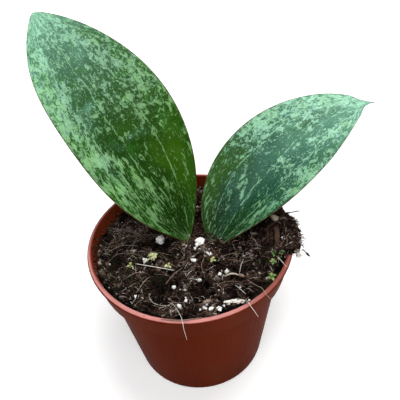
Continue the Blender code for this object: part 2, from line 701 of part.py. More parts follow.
def main():
    clear_scene()
    pot_material = make_material("pot_plastic", (0.30, 0.09, 0.05), 0.45)
    peat_material = make_material("peat", (0.02, 0.012, 0.008), 0.95)
    leaf_material = make_material("leaf", (0.04, 0.16, 0.07), 0.3)
    stem_material = make_material("stem", (0.10, 0.16, 0.05), 0.5)
    perlite_material = make_material("perlite", (0.85, 0.84, 0.80), 0.9)
    dry_material = make_material("dry_bits", (0.36, 0.27, 0.17), 0.85)
    seedling_material = make_material("seedling", (0.35, 0.45, 0.10), 0.5)

    build_pot(pot_material)
    soil = build_soil(peat_material)
    heap = build_heap(peat_material)
    stem = build_stem(stem_material)
    leaves = [build_leaf(name, leaf, leaf_material) for name, leaf in LEAVES.items()]
    grains = [
        build_grain(f"perlite_{i:02d}", x, y, size, perlite_material)
        for i, (x, y, size) in enumerate(PERLITE, start=1)
    ]
    chips = [build_chip(name, chip, dry_material) for name, chip in CHIPS.items()]
    for i, (x, y, spread, heading) in enumerate(SEEDLINGS, start=1):
        build_seedling(f"seedling_{i:02d}", x, y, spread, heading, seedling_material)
    for name, (radius, points) in LYING.items():
        build_strand(name, radius, lying_path(points), dry_material)
    for name, (radius, points) in FREE.items():
        build_strand(name, radius, free_path(points), dry_material)

    cut(soil, grown_cutter("heap_socket", [heap], peat_material), "heap socket")
    for piece in [stem, *leaves]:
        cut(soil, grown_cutter(piece.name + "_socket", [piece], peat_material), piece.name + " socket")
    chip_sockets = grown_cutter("chip_sockets", chips, peat_material)
    cut(soil, grown_cutter("grain_sockets", grains, peat_material), "grain sockets")
    cut(soil, chip_sockets, "chip sockets")
    cut(heap, chip_sockets, "chip sockets")


main()
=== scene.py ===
# Potted hoya: two splashed leaves in dark peat, in a small moulded nursery pot.
# All sizes in the dictionaries are in millimetres, all angles in degrees.
import math
import random

import bmesh
import bpy
from mathutils import Matrix, Vector, noise


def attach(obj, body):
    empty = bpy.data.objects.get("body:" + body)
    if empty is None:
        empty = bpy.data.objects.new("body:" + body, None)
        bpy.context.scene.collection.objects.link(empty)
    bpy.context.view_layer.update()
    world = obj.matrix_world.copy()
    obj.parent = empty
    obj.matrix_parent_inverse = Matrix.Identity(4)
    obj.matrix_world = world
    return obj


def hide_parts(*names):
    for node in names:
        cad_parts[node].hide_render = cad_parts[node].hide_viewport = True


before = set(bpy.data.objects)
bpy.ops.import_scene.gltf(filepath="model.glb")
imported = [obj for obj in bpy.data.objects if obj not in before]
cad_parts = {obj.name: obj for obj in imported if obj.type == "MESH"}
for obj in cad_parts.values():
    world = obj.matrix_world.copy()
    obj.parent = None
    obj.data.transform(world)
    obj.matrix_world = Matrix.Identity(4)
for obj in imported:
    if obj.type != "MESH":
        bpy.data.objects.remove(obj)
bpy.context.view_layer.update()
mm = 0.001      # in metres
print("frame loaded:", len(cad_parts), "nodes")


# camera and light

view = {
    "place": (0.0, -180.86, 266.93),
    "yaw": 2.247,       # to the right
    "pitch": 41.10,     # downwards
    "roll": -5.246,
    "lens": 45.0,
    "sensor": 36.0,
    "near": 0.01,       # metres
    "far": 20.0,
}

light = {
    "skyPower": 12.0,       # soft window overhead, a little to the right
    "skySize": 560.0,
    "skyPlace": (190.0, 120.0, 1280.0),
    "frontPower": 12.5,     # broad light from the front
    "frontSize": 900.0,
    "frontPlace": (-60.0, -860.0, 1240.0),
    "aim": (0.0, 0.0, 90.0),
    "roomLow": 0.18,        # brightness of the room near the horizon and overhead
    "roomHigh": 0.25,
    "skyFrom": 0.35,        # the sky begins at this height of the view direction
    "skyTo": 0.75,
}


def makeCamera():
    camera = bpy.data.objects.new("camera", bpy.data.cameras.new("camera"))
    camera.data.lens = view["lens"]
    camera.data.sensor_width = view["sensor"]
    camera.data.clip_start = view["near"]
    camera.data.clip_end = view["far"]
    turn = (Matrix.Rotation(-math.radians(view["yaw"]), 4, "Z")
            @ Matrix.Rotation(math.radians(90 - view["pitch"]), 4, "X")
            @ Matrix.Rotation(math.radians(view["roll"]), 4, "Z"))
    camera.matrix_world = Matrix.Translation(Vector(view["place"]) * mm) @ turn
    bpy.context.scene.collection.objects.link(camera)
    bpy.context.scene.camera = camera


def addSoftbox(name, place, size, power):
    lamp = bpy.data.lights.new(name, "AREA")
    lamp.shape = "SQUARE"
    lamp.size = size * mm
    lamp.energy = power
    box = bpy.data.objects.new(name, lamp)
    box.location = Vector(place) * mm
    aim = Vector(light["aim"]) * mm - box.location
    box.rotation_euler = aim.to_track_quat("-Z", "Y").to_euler()
    bpy.context.scene.collection.objects.link(box)


# node helpers

def hexColour(code):
    values = [int(code[i:i + 2], 16) / 255 for i in (1, 3, 5)]
    return (*[v / 12.92 if v <= 0.04045 else ((v + 0.055) / 1.055) ** 2.4 for v in values], 1.0)


class Paint:
    # the nodes of one material or of the world: most methods add a node and give back its output
    def __init__(self, owner, roughness=0.5, specular=0.5):
        self.owner = owner
        owner.use_nodes = True
        self.tree = owner.node_tree
        self.shader = self.tree.nodes.get("Principled BSDF") or self.tree.nodes["Background"]
        if "Roughness" in self.shader.inputs:
            self.shader.inputs["Roughness"].default_value = roughness
            self.shader.inputs["Specular IOR Level"].default_value = specular

    def fill(self, node, key, value):
        if isinstance(value, bpy.types.NodeSocket):
            self.tree.links.new(value, node.inputs[key])
        else:
            node.inputs[key].default_value = hexColour(value) if isinstance(value, str) else value

    def put(self, key, value):
        self.fill(self.shader, key, value)

    def node(self, kind, inputs, **settings):
        node = self.tree.nodes.new("ShaderNode" + kind)
        for name, value in settings.items():
            setattr(node, name, value)
        for key, value in inputs.items():
            self.fill(node, key, value)
        return node

    def math(self, operation, a, b=0.0):
        return self.node("Math", {0: a, 1: b}, operation=operation).outputs[0]

    def plus(self, a, b):
        return self.math("ADD", a, b)

    def minus(self, a, b):
        return self.math("SUBTRACT", a, b)

    def flip(self, a):
        return self.math("SUBTRACT", 1.0, a)

    def times(self, a, b):
        return self.math("MULTIPLY", a, b)

    def larger(self, a, b):
        return self.math("MAXIMUM", a, b)

    def smaller(self, a, b):
        return self.math("MINIMUM", a, b)

    def noise(self, vector, scale, detail=4.0, roughness=0.55, distortion=0.0):
        inputs = {"Vector": vector, "Scale": scale, "Detail": detail,
                  "Roughness": roughness, "Distortion": distortion}
        return self.node("TexNoise", inputs).outputs["Fac"]

    def cells(self, vector, scale, **settings):
        node = self.node("TexVoronoi", {"Vector": vector, "Scale": scale}, **settings)
        return node.outputs["Distance"]

    def step(self, value, low, high):
        inputs = {"Value": value, "From Min": low, "From Max": high}
        return self.node("MapRange", inputs, interpolation_type="SMOOTHSTEP").outputs["Result"]

    def range(self, value, low, high):
        return self.node("MapRange", {"Value": value, "To Min": low, "To Max": high}).outputs["Result"]

    def mix(self, factor, a, b, blend="MIX"):
        return self.node("Mix", {0: factor, 6: a, 7: b}, data_type="RGBA", blend_type=blend).outputs[2]

    def shade(self, colour, amount):
        return self.mix(1.0, colour, amount, "MULTIPLY")

    def ramp(self, value, *stops):
        node = self.node("ValToRGB", {"Fac": value})
        ramp = node.color_ramp
        while len(ramp.elements) < len(stops):
            ramp.elements.new(0.5)
        for element, (position, colour) in zip(ramp.elements, stops):
            element.position = position
            element.color = hexColour(colour)
        return node.outputs["Color"]

    def bump(self, height, strength, distance, normal=None):
        inputs = {"Height": height, "Strength": strength, "Distance": distance}
        if normal:
            inputs["Normal"] = normal
        return self.node("Bump", inputs).outputs["Normal"]

    def mark(self, name, output="Fac"):
        return self.node("Attribute", {}, attribute_name=name).outputs[output]

    def place(self):
        return self.node("TexCoord", {}).outputs["Object"]

    def split(self, vector):
        return self.node("SeparateXYZ", {0: vector}).outputs

    def stretched(self, vector, scale):
        return self.node("Mapping", {"Vector": vector, "Scale": scale}).outputs[0]

    def length(self, vector):
        return self.node("VectorMath", {0: vector}, operation="LENGTH").outputs["Value"]


def newPaint(name, roughness, specular=0.5):
    return Paint(bpy.data.materials.new(name), roughness, specular)


# shape helpers

def clamp(value, low=0.0, high=1.0):
    return min(high, max(low, value))


def smoothShare(value, low, high):
    share = clamp((value - low) / (high - low))
    return share * share * (3 - 2 * share)


def around(count):
    # evenly spaced angles round a circle
    return [2 * math.pi * k / count for k in range(count)]


def outwards(angle):
    return Vector((math.cos(angle), math.sin(angle), 0))


def upwards(height):
    return Vector((0, 0, height))


def ringOf(centre, side, up, count):
    # an ellipse whose half axes are side and up
    return [(centre + side * math.cos(turn) + up * math.sin(turn)) * mm for turn in around(count)]


def anyWay(pick, spread=1.0):
    return Vector([pick.gauss(0, spread) for _ in range(3)])


def anySize(pick, sizes):
    # a size between two, evenly spread by ratio, so that small ones are common
    return sizes[0] * (sizes[1] / sizes[0]) ** pick.random()


def spotSum(spots, x, y):
    # soft round spots, each given as x, y, reach and amount
    return sum(amount * math.exp(-((x - px) ** 2 + (y - py) ** 2) / reach ** 2)
               for px, py, reach, amount in spots)


def addPiece(name, points, faces, material, nodes=(), marks=None):
    mesh = bpy.data.meshes.new(name)
    mesh.from_pydata(points, [], faces)
    mesh.materials.append(material)
    for mark, values in (marks or {}).items():
        if isinstance(values[0], (int, float)):
            mesh.attributes.new(mark, "FLOAT", "POINT").data.foreach_set("value", values)
        else:
            flat = [number for value in values for number in value]
            mesh.attributes.new(mark, "FLOAT_VECTOR", "POINT").data.foreach_set("vector", flat)
    bm = bmesh.new()
    bm.from_mesh(mesh)
    bmesh.ops.recalc_face_normals(bm, faces=bm.faces)
    bm.to_mesh(mesh)
    bm.free()
    mesh.shade_smooth()
    piece = bpy.data.objects.new(name, mesh)
    bpy.context.scene.collection.objects.link(piece)
    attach(piece, "root")
    if nodes:
        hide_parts(*nodes)
    return piece


def joinRings(rings):
    # faces between rings of equal length, and a fan over each end
    count = len(rings[0])
    points = [point for ring in rings for point in ring]
    faces = []
    for i in range(len(rings) - 1):
        a, b = i * count, (i + 1) * count
        faces += [(a + k, a + (k + 1) % count, b + (k + 1) % count, b + k) for k in range(count)]
    for ring, start, order in ((rings[0], 0, -1), (rings[-1], (len(rings) - 1) * count, 1)):
        middle = len(points)
        points.append(sum(ring, Vector()) / count)
        for k in range(count):
            corner = (start + k, start + (k + 1) % count, middle)
            faces.append(corner[::order])
    return points, faces


def smoothPath(points, steps):
    ends = [2 * points[0] - points[1], *points, 2 * points[-1] - points[-2]]
    path = []
    for a, b, c, d in zip(ends, ends[1:], ends[2:], ends[3:]):
        for i in range(steps):
            t = i / steps
            path.append(0.5 * (2 * b + (c - a) * t + (2 * a - 5 * b + 4 * c - d) * t ** 2
                               + (3 * b - a - 3 * c + d) * t ** 3))
    return path + [points[-1]]


def tubeRings(path, radii, sides, lumps=0.0):
    rings = []
    start = (path[1] - path[0]).normalized()
    side = start.cross(upwards(1) if abs(start.z) < 0.9 else Vector((1, 0, 0))).normalized()
    for i, point in enumerate(path):
        forward = (path[min(i + 1, len(path) - 1)] - path[max(i - 1, 0)]).normalized()
        side = (side - forward * side.dot(forward)).normalized()
        up = forward.cross(side)
        ring = []
        for turn in around(sides):
            out = math.cos(turn) * side + math.sin(turn) * up
            swell = 1 + lumps * noise.noise(point / mm * 0.9 + out * 1.7)
            ring.append(point + out * radii[i] * swell)
        rings.append(ring)
    return rings


class PartsList:
    # gathers many small shapes into one piece, each with a tone of its own
    def __init__(self):
        self.points, self.faces, self.tones = [], [], []

    def add(self, points, faces, tone):
        first = len(self.points)
        self.points += points
        self.faces += [tuple(first + i for i in face) for face in faces]
        self.tones += tone if isinstance(tone, list) else [tone] * len(points)

    def addTube(self, path, radii, sides, tone, lumps=0.0):
        self.add(*joinRings(tubeRings(path, radii, sides, lumps)), tone)

    def finish(self, name, material, nodes=()):
        return addPiece(name, self.points, self.faces, material, nodes, {"tone": self.tones})


def icoShape(subdivisions):
    bm = bmesh.new()
    bmesh.ops.create_icosphere(bm, subdivisions=subdivisions, radius=1.0)
    points = [v.co.copy() for v in bm.verts]
    faces = [tuple(v.index for v in face.verts) for face in bm.faces]
    bm.free()
    return points, faces


# ground: the same peat and heap surfaces as the solids, with finer crumbs on them

pot = {
    "height": 84.8,
    "rimRadius": 52.5,
    "lipWidth": 2.4,
    "collarRadius": 49.4,
    "wallTopRadius": 46.2,
    "baseRadius": 37.2,
    "wall": 1.2,
}

peat = {
    "level": 79.6,
    "tiltX": 0.028,
    "tiltY": -0.032,
    "lumps": (1.5, 9.0, 3.1),       # height, width, seed
    "crumbs": (0.7, 4.2, 7.7),
    # hollows between the clods, painted dark as shade by the tone that follows the relief: x, y, reach,
    # depth
    "hollows": (
        (-21.0, 9.0, 4.5, 2.6), (-9.0, -25.2, 3.2, 2.4), (-0.9, -36.5, 2.6, 1.8),
        (-3.7, -6.5, 4.0, 2.0), (26.0, -2.0, 7.0, 3.0), (-36.6, -5.6, 5.0, 1.8),
        (41.0, -25.0, 3.5, 2.5), (38.8, 6.4, 6.0, 2.5),
    ),
    "edgeDrop": 1.0,
    "edgeStart": 0.84,
    "edgeWidth": 0.1,
    # it is banked up against the wall at the front left: height, where it begins, and the angle
    "bank": (2.4, 43.0, 215.0),
    "patchSizes": (8.3, 3.9),
    # painted shade: dark patches under the leaves and beside the heap: x, y, reach, amount
    "shadedPatches": (
        (37.0, 3.0, 12.0, 0.55), (41.0, -9.0, 8.0, 0.30), (-17.0, 4.0, 6.0, 0.45),
        (-36.0, -5.0, 7.0, 0.30), (24.0, 4.0, 8.0, 0.35), (-12.0, -25.0, 4.0, 0.25),
    ),
    "radius": 48.3,
    "rings": 128,
    "segments": 400,
}

heap = {
    "start": -27.0,
    "end": 10.0,
    "top": 89.2,
    "outer": 57.3,
    "inner": 37.5,
    "lipOuter": 53.1,
    "insideLip": 49.5,
    "least": 1.0,
    "sunk": 1.5,                # how deep its foot reaches into the peat
    "gap": 0.3,                 # to the lip
    "skew": 1.8,
    "lean": 0.9,                # how much less it reaches out towards its far end
    "endSwell": 0.3,
    "endShare": 0.22,           # share of its length over which each end runs out
    "endStages": (0.4, 0.6),    # it climbs inside the lip, then crosses it, then hangs outside
    "endHeight": 0.3,
    "hang": 2.4,
    "wave": 0.16,
    "waveTurns": 9.0,
    "crumbs": (0.9, 4.2, 1.3),
    "stationCount": 180,
    "acrossCount": 70,
}
heapStart, heapEnd = (math.radians(heap[key]) for key in ("start", "end"))

# loose, pitted relief: sizes of its clods, grit, pits and dust, and how much of each there is
relief = {
    "clodSize": 3.0,
    "broadSize": 6.5,
    "gritSize": 1.2,
    "pitSize": 3.6,
    "dustSize": 0.7,
    "clod": 1.3,
    "grit": 0.7,
    "pit": 6.0,
    "dust": 0.35,
}


def bumpAt(x, y, roughness):
    amount, size, seed = roughness
    return amount * noise.noise(Vector((x / size, y / size, seed)))


def peatLevel(x, y):
    radius = math.hypot(x, y)
    drop = peat["edgeDrop"] * clamp((radius / pot["rimRadius"] - peat["edgeStart"]) / peat["edgeWidth"])
    height, begin, angle = peat["bank"]
    side = max(0.0, math.cos(math.atan2(y, x) - math.radians(angle)))
    bank = height * side * smoothShare(radius, begin, peat["radius"])
    level = peat["level"] + peat["tiltX"] * x + peat["tiltY"] * y + bank - drop
    return level + bumpAt(x, y, peat["lumps"]) + bumpAt(x, y, peat["crumbs"])


def heapShare(angle):
    return (angle - heapStart) / (heapEnd - heapStart)


def heapEndStages(angle):
    # how far each stage of an end is done: climb, crossing and hang
    share = heapShare(angle)
    done = max(0.0, min(share, 1 - share) / heap["endShare"])
    climbed, crossed = heap["endStages"]
    stages = ((0.0, climbed), (climbed, crossed), (crossed, 1.0))
    return [clamp((done - first) / (last - first)) for first, last in stages]


def heapShape(angle):
    # how much it swells at an angle, and its inner and outer radius there
    share = clamp(heapShare(angle))
    swell = heap["endSwell"] + (1 - heap["endSwell"]) * max(0.0, math.sin(math.pi * share)) ** 0.7
    wave = 1 + heap["wave"] * math.sin(heap["waveTurns"] * angle + 1)
    inner = heap["inner"] + (peat["radius"] - heap["inner"]) * (1 - swell)
    crossing, hanging = heapEndStages(angle)[1:]
    full = (heap["outer"] - heap["lipOuter"]) * swell * wave * (1 - heap["lean"] * share ** 2)
    outer = heap["insideLip"] + (heap["lipOuter"] - heap["insideLip"]) * crossing + full * hanging
    return swell * wave, inner, outer


def heapTop(radius, angle):
    swell, inner, outer = heapShape(angle)
    share = clamp((radius - inner) / (outer - inner))
    foot = peatLevel(inner * math.cos(angle), inner * math.sin(angle)) + 0.5
    edge = pot["height"] + heap["least"]
    crest = (heap["top"] - pot["height"]) * swell * math.sin(math.pi * share ** heap["skew"]) ** 0.8
    rough = bumpAt(radius * math.cos(angle), radius * math.sin(angle), heap["crumbs"])
    height = foot + (edge - foot) * share ** 0.8 + crest + rough * math.sin(math.pi * share)
    if radius > peat["radius"] - heap["least"]:
        height = max(height, edge)
    sunk = (1 - heap["endHeight"]) * (1 - heapEndStages(angle)[0])
    return height + (foot - height) * sunk


def groundLevel(x, y):
    radius, angle = math.hypot(x, y), math.atan2(y, x)
    if heapStart < angle < heapEnd:
        inner, outer = heapShape(angle)[1:]
        if inner < radius < outer:
            return max(peatLevel(x, y), heapTop(radius, angle))
    return peatLevel(x, y)


def onGround(x, y, lift=0.0):
    return Vector((x, y, groundLevel(x, y) + lift))


def patchAt(x, y):
    # below zero in damp dark patches and in the painted shade of the listed shaded patches, above it in
    # drier light ones
    broad, narrow = (noise.noise(Vector((x / size, y / size, size))) for size in peat["patchSizes"])
    return broad + 0.6 * narrow - spotSum(peat["shadedPatches"], x, y)


def cellDistance(place):
    return noise.voronoi(place)[0][0]


def crumbling(x, y, z=0.0):
    place = Vector((x, y, z))
    clod = 0.55 - cellDistance(place / relief["clodSize"])
    clod += 0.7 * (0.5 - cellDistance(place / relief["broadSize"]))
    grit = 0.5 - cellDistance(place / relief["gritSize"] + Vector((5, 3, 1)))
    pits = min(0.0, noise.noise(place / relief["pitSize"] + Vector((9, 9, 9))) + 0.08)
    dust = noise.noise(place / relief["dustSize"])
    return (relief["clod"] * clod + relief["grit"] * grit + relief["pit"] * pits
            + relief["dust"] * dust - spotSum(peat["hollows"], x, y))


# leaves

leafMake = {
    "stations": 210,
    "around": 96,
    "halfThickness": 0.62,
    "thinning": 0.35,
    "cup": 1.5,
    "tipHalf": 0.45,
    "stalkHalf": 1.9,
    "stalkStations": 16,
    "grooveDepth": 0.30,        # shallow channel over the midrib
    "grooveWidth": 1.6,
    "keelDepth": 0.95,          # ridge under the midrib, near the base
    "keelWidth": 1.5,
    "bodyFade": 10,             # how soon the stalk turns into blade
    "stalkFade": 12,
    "thickFade": 14,
    "roundFade": 20,
    "waveHeight": 0.55,         # slow swells of the blade
    "waveSize": 21.0,
    "flowWidth": 12.0,          # half width of the splash pattern at the base, and how it widens
    "flowShare": 0.6,
    "flowCurve": 2.5,
    "paintSeed": 1795362084,    # sets how the soft paint patches are pulled about
    "dripSteps": (0.14, 0.28, 0.42, 0.56, 0.7, 0.85, 1.0),
    "stem": (5.6, 1.6, 65.5),
    "stemRadius": 3.15,
}

# The blade starts at base and runs for length. heading, rise and roll are polynomials in the
# share s of the length. Each half is (width, skew, fullness, belly). The paint lists hold soft
# patches as (across -1..1, along 0..1, reach across, reach along, amount).
leafLeft = {
    "name": "leftLeaf",
    "node": "leaf_left",
    "seed": 11.0,
    "base": (-1.5, 4.2, 77.5),
    "length": 135.7,
    "rise": (60.0, -18.0),
    "heading": (-54.8, 32.6, -21.0),
    "roll": (-13.6, -1.0),
    "fold": 15.0,
    "left": (28.8, 1.11, 0.82, 0.13),
    "right": (33.2, 0.99, 0.75, 0.02),
    "dripTip": 0.8,
    "dripHalf": 0.2,
    "dripDrop": 0.2,
    "pinch": 0.0,
    "stemSide": -1,
    "ground": ((0.0, "#193b05"), (0.35, "#2d522a"), (0.70, "#436c50"), (1.0, "#669a7e")),
    "chalk": ((0.0, "#74a066"), (0.35, "#7ca884"), (0.70, "#8bbb9b"), (1.0, "#a0d8bb")),
    "yellow": "#335a06",
    "fresh": 0.38,                      # how much fresher its green is towards the sides
    "streaks": (0.36, 0.30, 0.58),      # how drawn out the splashes are low down, and where that ends
    "pale": 0.29,
    "palePatches": [
        (0.0, 1.0, 1.5, 0.10, 0.26), (-0.80, 0.80, 0.35, 0.14, 0.20),
        (-0.85, 0.60, 0.36, 0.12, 0.36), (-0.76, 0.45, 0.24, 0.040, 0.52),
        (-0.42, 0.385, 0.11, 0.05, 0.42), (-0.27, 0.235, 0.08, 0.06, 0.46),
        (-0.66, 0.37, 0.10, 0.025, -0.16), (-0.80, 0.32, 0.24, 0.05, 0.28),
        (-0.70, 0.20, 0.40, 0.08, 0.16), (0.78, 0.76, 0.28, 0.13, 0.22),
        (0.74, 0.58, 0.28, 0.09, 0.22), (0.30, 0.67, 0.22, 0.04, 0.12),
        (0.02, 0.59, 0.10, 0.03, 0.30), (0.30, 0.54, 0.20, 0.03, -0.24),
        (-0.25, 0.65, 0.20, 0.025, -0.20), (-0.08, 0.44, 0.24, 0.09, -0.22),
        (0.45, 0.38, 0.55, 0.10, -0.22), (0.50, 0.10, 0.60, 0.10, -0.12),
        (0.95, 0.25, 0.30, 0.20, -0.20), (0.20, 0.77, 0.28, 0.05, -0.12),
    ],
    # painted sheen: a bluer teal, mostly a painted sheen of the sky and a little the leaf's own colour,
    # grows over this share of the length and in the listed patches
    "tealSheenFrom": 0.46,
    "tealSheenTo": 1.0,
    "tealSheenPatches": [
        (-0.22, 0.61, 0.16, 0.03, 0.55), (0.30, 0.485, 0.14, 0.02, 0.70),
        (-0.10, 0.45, 0.14, 0.02, 0.40), (0.20, 0.78, 0.30, 0.05, 0.20),
        (-0.40, 0.55, 0.15, 0.04, 0.30), (-0.12, 0.37, 0.12, 0.02, 0.20),
        (-0.80, 0.70, 0.35, 0.16, 0.32), (-0.75, 0.42, 0.32, 0.12, 0.30),
    ],
    "yellowPatches": [
        (0.72, 0.32, 0.32, 0.14, 0.90), (0.30, 0.53, 0.20, 0.03, 0.40),
        (0.95, 0.15, 0.30, 0.15, 0.50), (0.80, 0.80, 0.15, 0.03, 0.35),
    ],
}

leafRight = {
    "name": "rightLeaf",
    "node": "leaf_right",
    "seed": 47.0,
    "base": (12.8, -0.2, 75.0),
    "length": 109.7,
    "rise": (45.9, -30.1),
    "heading": (56.5, -12.9, 49.8),
    "roll": (14.9, 0.3),
    "fold": 14.0,
    "left": (27.1, 0.85, 0.71, 0.02),
    "right": (24.4, 1.24, 0.72, 0.04),
    "dripTip": 4.6,
    "dripHalf": 1.0,
    "dripDrop": 1.2,
    "pinch": 0.6,
    "stemSide": 1,
    "ground": ((0.0, "#13350a"), (0.35, "#1d4430"), (0.70, "#3b6652"), (1.0, "#5f8f78")),
    "chalk": ((0.0, "#7aa878"), (0.35, "#6da184"), (0.70, "#93c6a8"), (1.0, "#a5dabd")),
    "yellow": "#2b4e0a",
    "fresh": 0.22,
    "streaks": (0.42, 0.25, 0.50),
    "pale": 0.25,
    "palePatches": [
        (0.0, 1.0, 1.5, 0.07, 0.30), (-0.78, 0.80, 0.34, 0.15, 0.34),
        (-0.86, 0.58, 0.34, 0.10, 0.36), (-0.45, 0.93, 0.40, 0.06, 0.18),
        (0.45, 0.80, 0.25, 0.09, 0.36), (0.34, 0.67, 0.14, 0.04, 0.34),
        (0.86, 0.58, 0.20, 0.12, 0.36), (0.86, 0.38, 0.18, 0.12, 0.32),
        (0.55, 0.56, 0.25, 0.05, 0.16), (0.88, 0.90, 0.20, 0.08, 0.22),
        (0.30, 0.34, 0.08, 0.025, 0.60), (0.15, 0.53, 0.07, 0.02, 0.40),
        (0.06, 0.82, 0.09, 0.09, -0.24), (0.12, 0.70, 0.06, 0.07, -0.30),
        (-0.12, 0.50, 0.30, 0.14, -0.16), (0.80, 0.24, 0.22, 0.08, 0.26),
        (0.62, 0.68, 0.18, 0.035, -0.22), (0.30, 0.43, 0.38, 0.06, -0.12),
        (-0.05, 0.20, 0.40, 0.14, -0.20), (0.45, 0.20, 0.30, 0.10, -0.08),
        (-0.60, 0.33, 0.30, 0.12, -0.06),
    ],
    # painted sheen, as on the left leaf
    "tealSheenFrom": 0.05,
    "tealSheenTo": 0.85,
    "tealSheenPatches": [
        (-0.05, 0.50, 0.25, 0.20, 0.15), (-0.20, 0.20, 0.22, 0.14, 0.24),
        (0.06, 0.82, 0.14, 0.12, 0.10), (-0.40, 0.68, 0.15, 0.05, 0.25),
    ],
    "yellowPatches": [
        (-0.85, 0.25, 0.30, 0.20, 0.95), (-0.72, 0.45, 0.20, 0.06, 0.45),
        (-0.25, 0.74, 0.20, 0.10, 0.40), (0.92, 0.62, 0.10, 0.10, 0.40),
        (0.50, 0.20, 0.25, 0.08, 0.20),
    ],
}

leafColours = {
    "warmChalk": "#84b274",
    "freshGround": "#2f6a1f",
    "freshChalk": "#83b96c",
    "margin": "#4a2a1c",
    "underside": "#5f8552",
    "stalk": "#4f6b36",
}


def along(terms, s):
    return sum(term * s ** power for power, term in enumerate(terms))


def halfWidth(half, s):
    width, skew, fullness, belly = half
    turn = math.pi * s ** skew
    return width * max(0.0, math.sin(min(turn, math.pi))) ** fullness * (1 + belly * math.cos(2 * turn))


def leafFrame(leaf, s):
    heading, rise, roll = (math.radians(along(leaf[key], s)) for key in ("heading", "rise", "roll"))
    flat = Vector((math.sin(heading), math.cos(heading), 0))
    forward = flat * math.cos(rise) + upwards(math.sin(rise))
    across = Vector((math.cos(heading), -math.sin(heading), 0))
    turn = Matrix.Rotation(roll, 3, forward)
    return forward, turn @ across, turn @ across.cross(forward)


def painted(patches, u, s):
    # the patches are pulled about a little, so that none keeps a round outline
    shift = noise.noise_vector(Vector((u * 2.2, s * 9.0, 3.0)))
    shift += 0.5 * noise.noise_vector(Vector((u * 6, s * 24, 8)))
    u, s = u + 0.26 * shift.x, s + 0.055 * shift.y
    return sum(amount * math.exp(-((u - pu) / ru) ** 2 - ((s - ps) / rs) ** 2)
               for pu, ps, ru, rs, amount in patches)


def drawnOut(s, share, low, high):
    # a length that grows by share times s at first, and as fast as s from high on
    step = clamp((s - low) / (high - low))
    return share * s + (1 - share) * ((high - low) * (step ** 3 - step ** 4 / 2) + max(0.0, s - high))


def bladeRing(leaf, point, side, up, s):
    # one ring round the blade, with the marks that its material reads
    make = leafMake
    end = smoothShare(s, 0.95, 1.0)
    stalk = make["stalkHalf"] * (1 - s) ** make["stalkFade"]
    least = make["tipHalf"] * s + leaf["dripHalf"] * end
    halves = [math.hypot(halfWidth(leaf[key], s) * (1 - leaf["pinch"] * end), stalk) + least
              for key in ("left", "right")]
    flatness = 0.5 + 0.5 * (1 - s) ** make["roundFade"]
    thick = make["halfThickness"] * (1 - make["thinning"] * s)
    thick += (make["stalkHalf"] - make["halfThickness"]) * (1 - s) ** make["thickFade"]
    fold = math.radians(leaf["fold"])
    body = 1 - (1 - s) ** make["bodyFade"]
    groove = make["grooveDepth"] * body * (1 - s) ** 0.5
    keel = make["keelDepth"] * body * (1 - s) ** 0.8
    size = make["waveSize"]
    ring, marks = [], []
    for turn in around(make["around"]):
        u, rise = math.cos(turn), math.sin(turn)
        width = halves[u > 0]
        w = u * width
        depth = thick * math.copysign(abs(rise) ** flatness, rise)
        if rise > 0:
            depth -= groove * math.exp(-(w / make["grooveWidth"]) ** 2)
        else:
            depth -= keel * math.exp(-(w / make["keelWidth"]) ** 2)
        swell = noise.noise(Vector((w / size, s * leaf["length"] / size * 0.7, leaf["seed"])))
        lift = width * abs(u) ** make["cup"] * math.sin(fold)
        lift += make["waveHeight"] * swell * body * min(1.0, width / 10)
        ring.append((point + side * w * math.cos(fold) + up * (lift + depth)) * mm)
        marks.append((u, s, float(rise > -0.02), width * (1 - abs(u))))
    return ring, marks


def stalkRings(leaf, forward, side):
    make = leafMake
    start = Vector(leaf["base"])
    outward = Vector((leaf["stemSide"], 0, 0))
    end = Vector(make["stem"]) + outward * make["stemRadius"]
    reach = (start - end).length
    bend = (start, start - forward * 0.45 * reach, end + outward * 0.25 * reach, end)
    rings, marks = [], []
    for i in range(1, make["stalkStations"] + 1):
        t = i / make["stalkStations"]
        weights = ((1 - t) ** 3, 3 * t * (1 - t) ** 2, 3 * t * t * (1 - t), t ** 3)
        point = sum((p * w for p, w in zip(bend, weights)), Vector())
        direction = forward.lerp(outward, t).normalized()
        across = (side - direction * side.dot(direction)).normalized() * make["stalkHalf"]
        rings.append(ringOf(point, across, across.cross(direction), make["around"]))
        turns = around(make["around"])
        marks.append([(math.cos(a), -t, float(math.sin(a) > -0.02), 9.0) for a in turns])
    return rings, marks


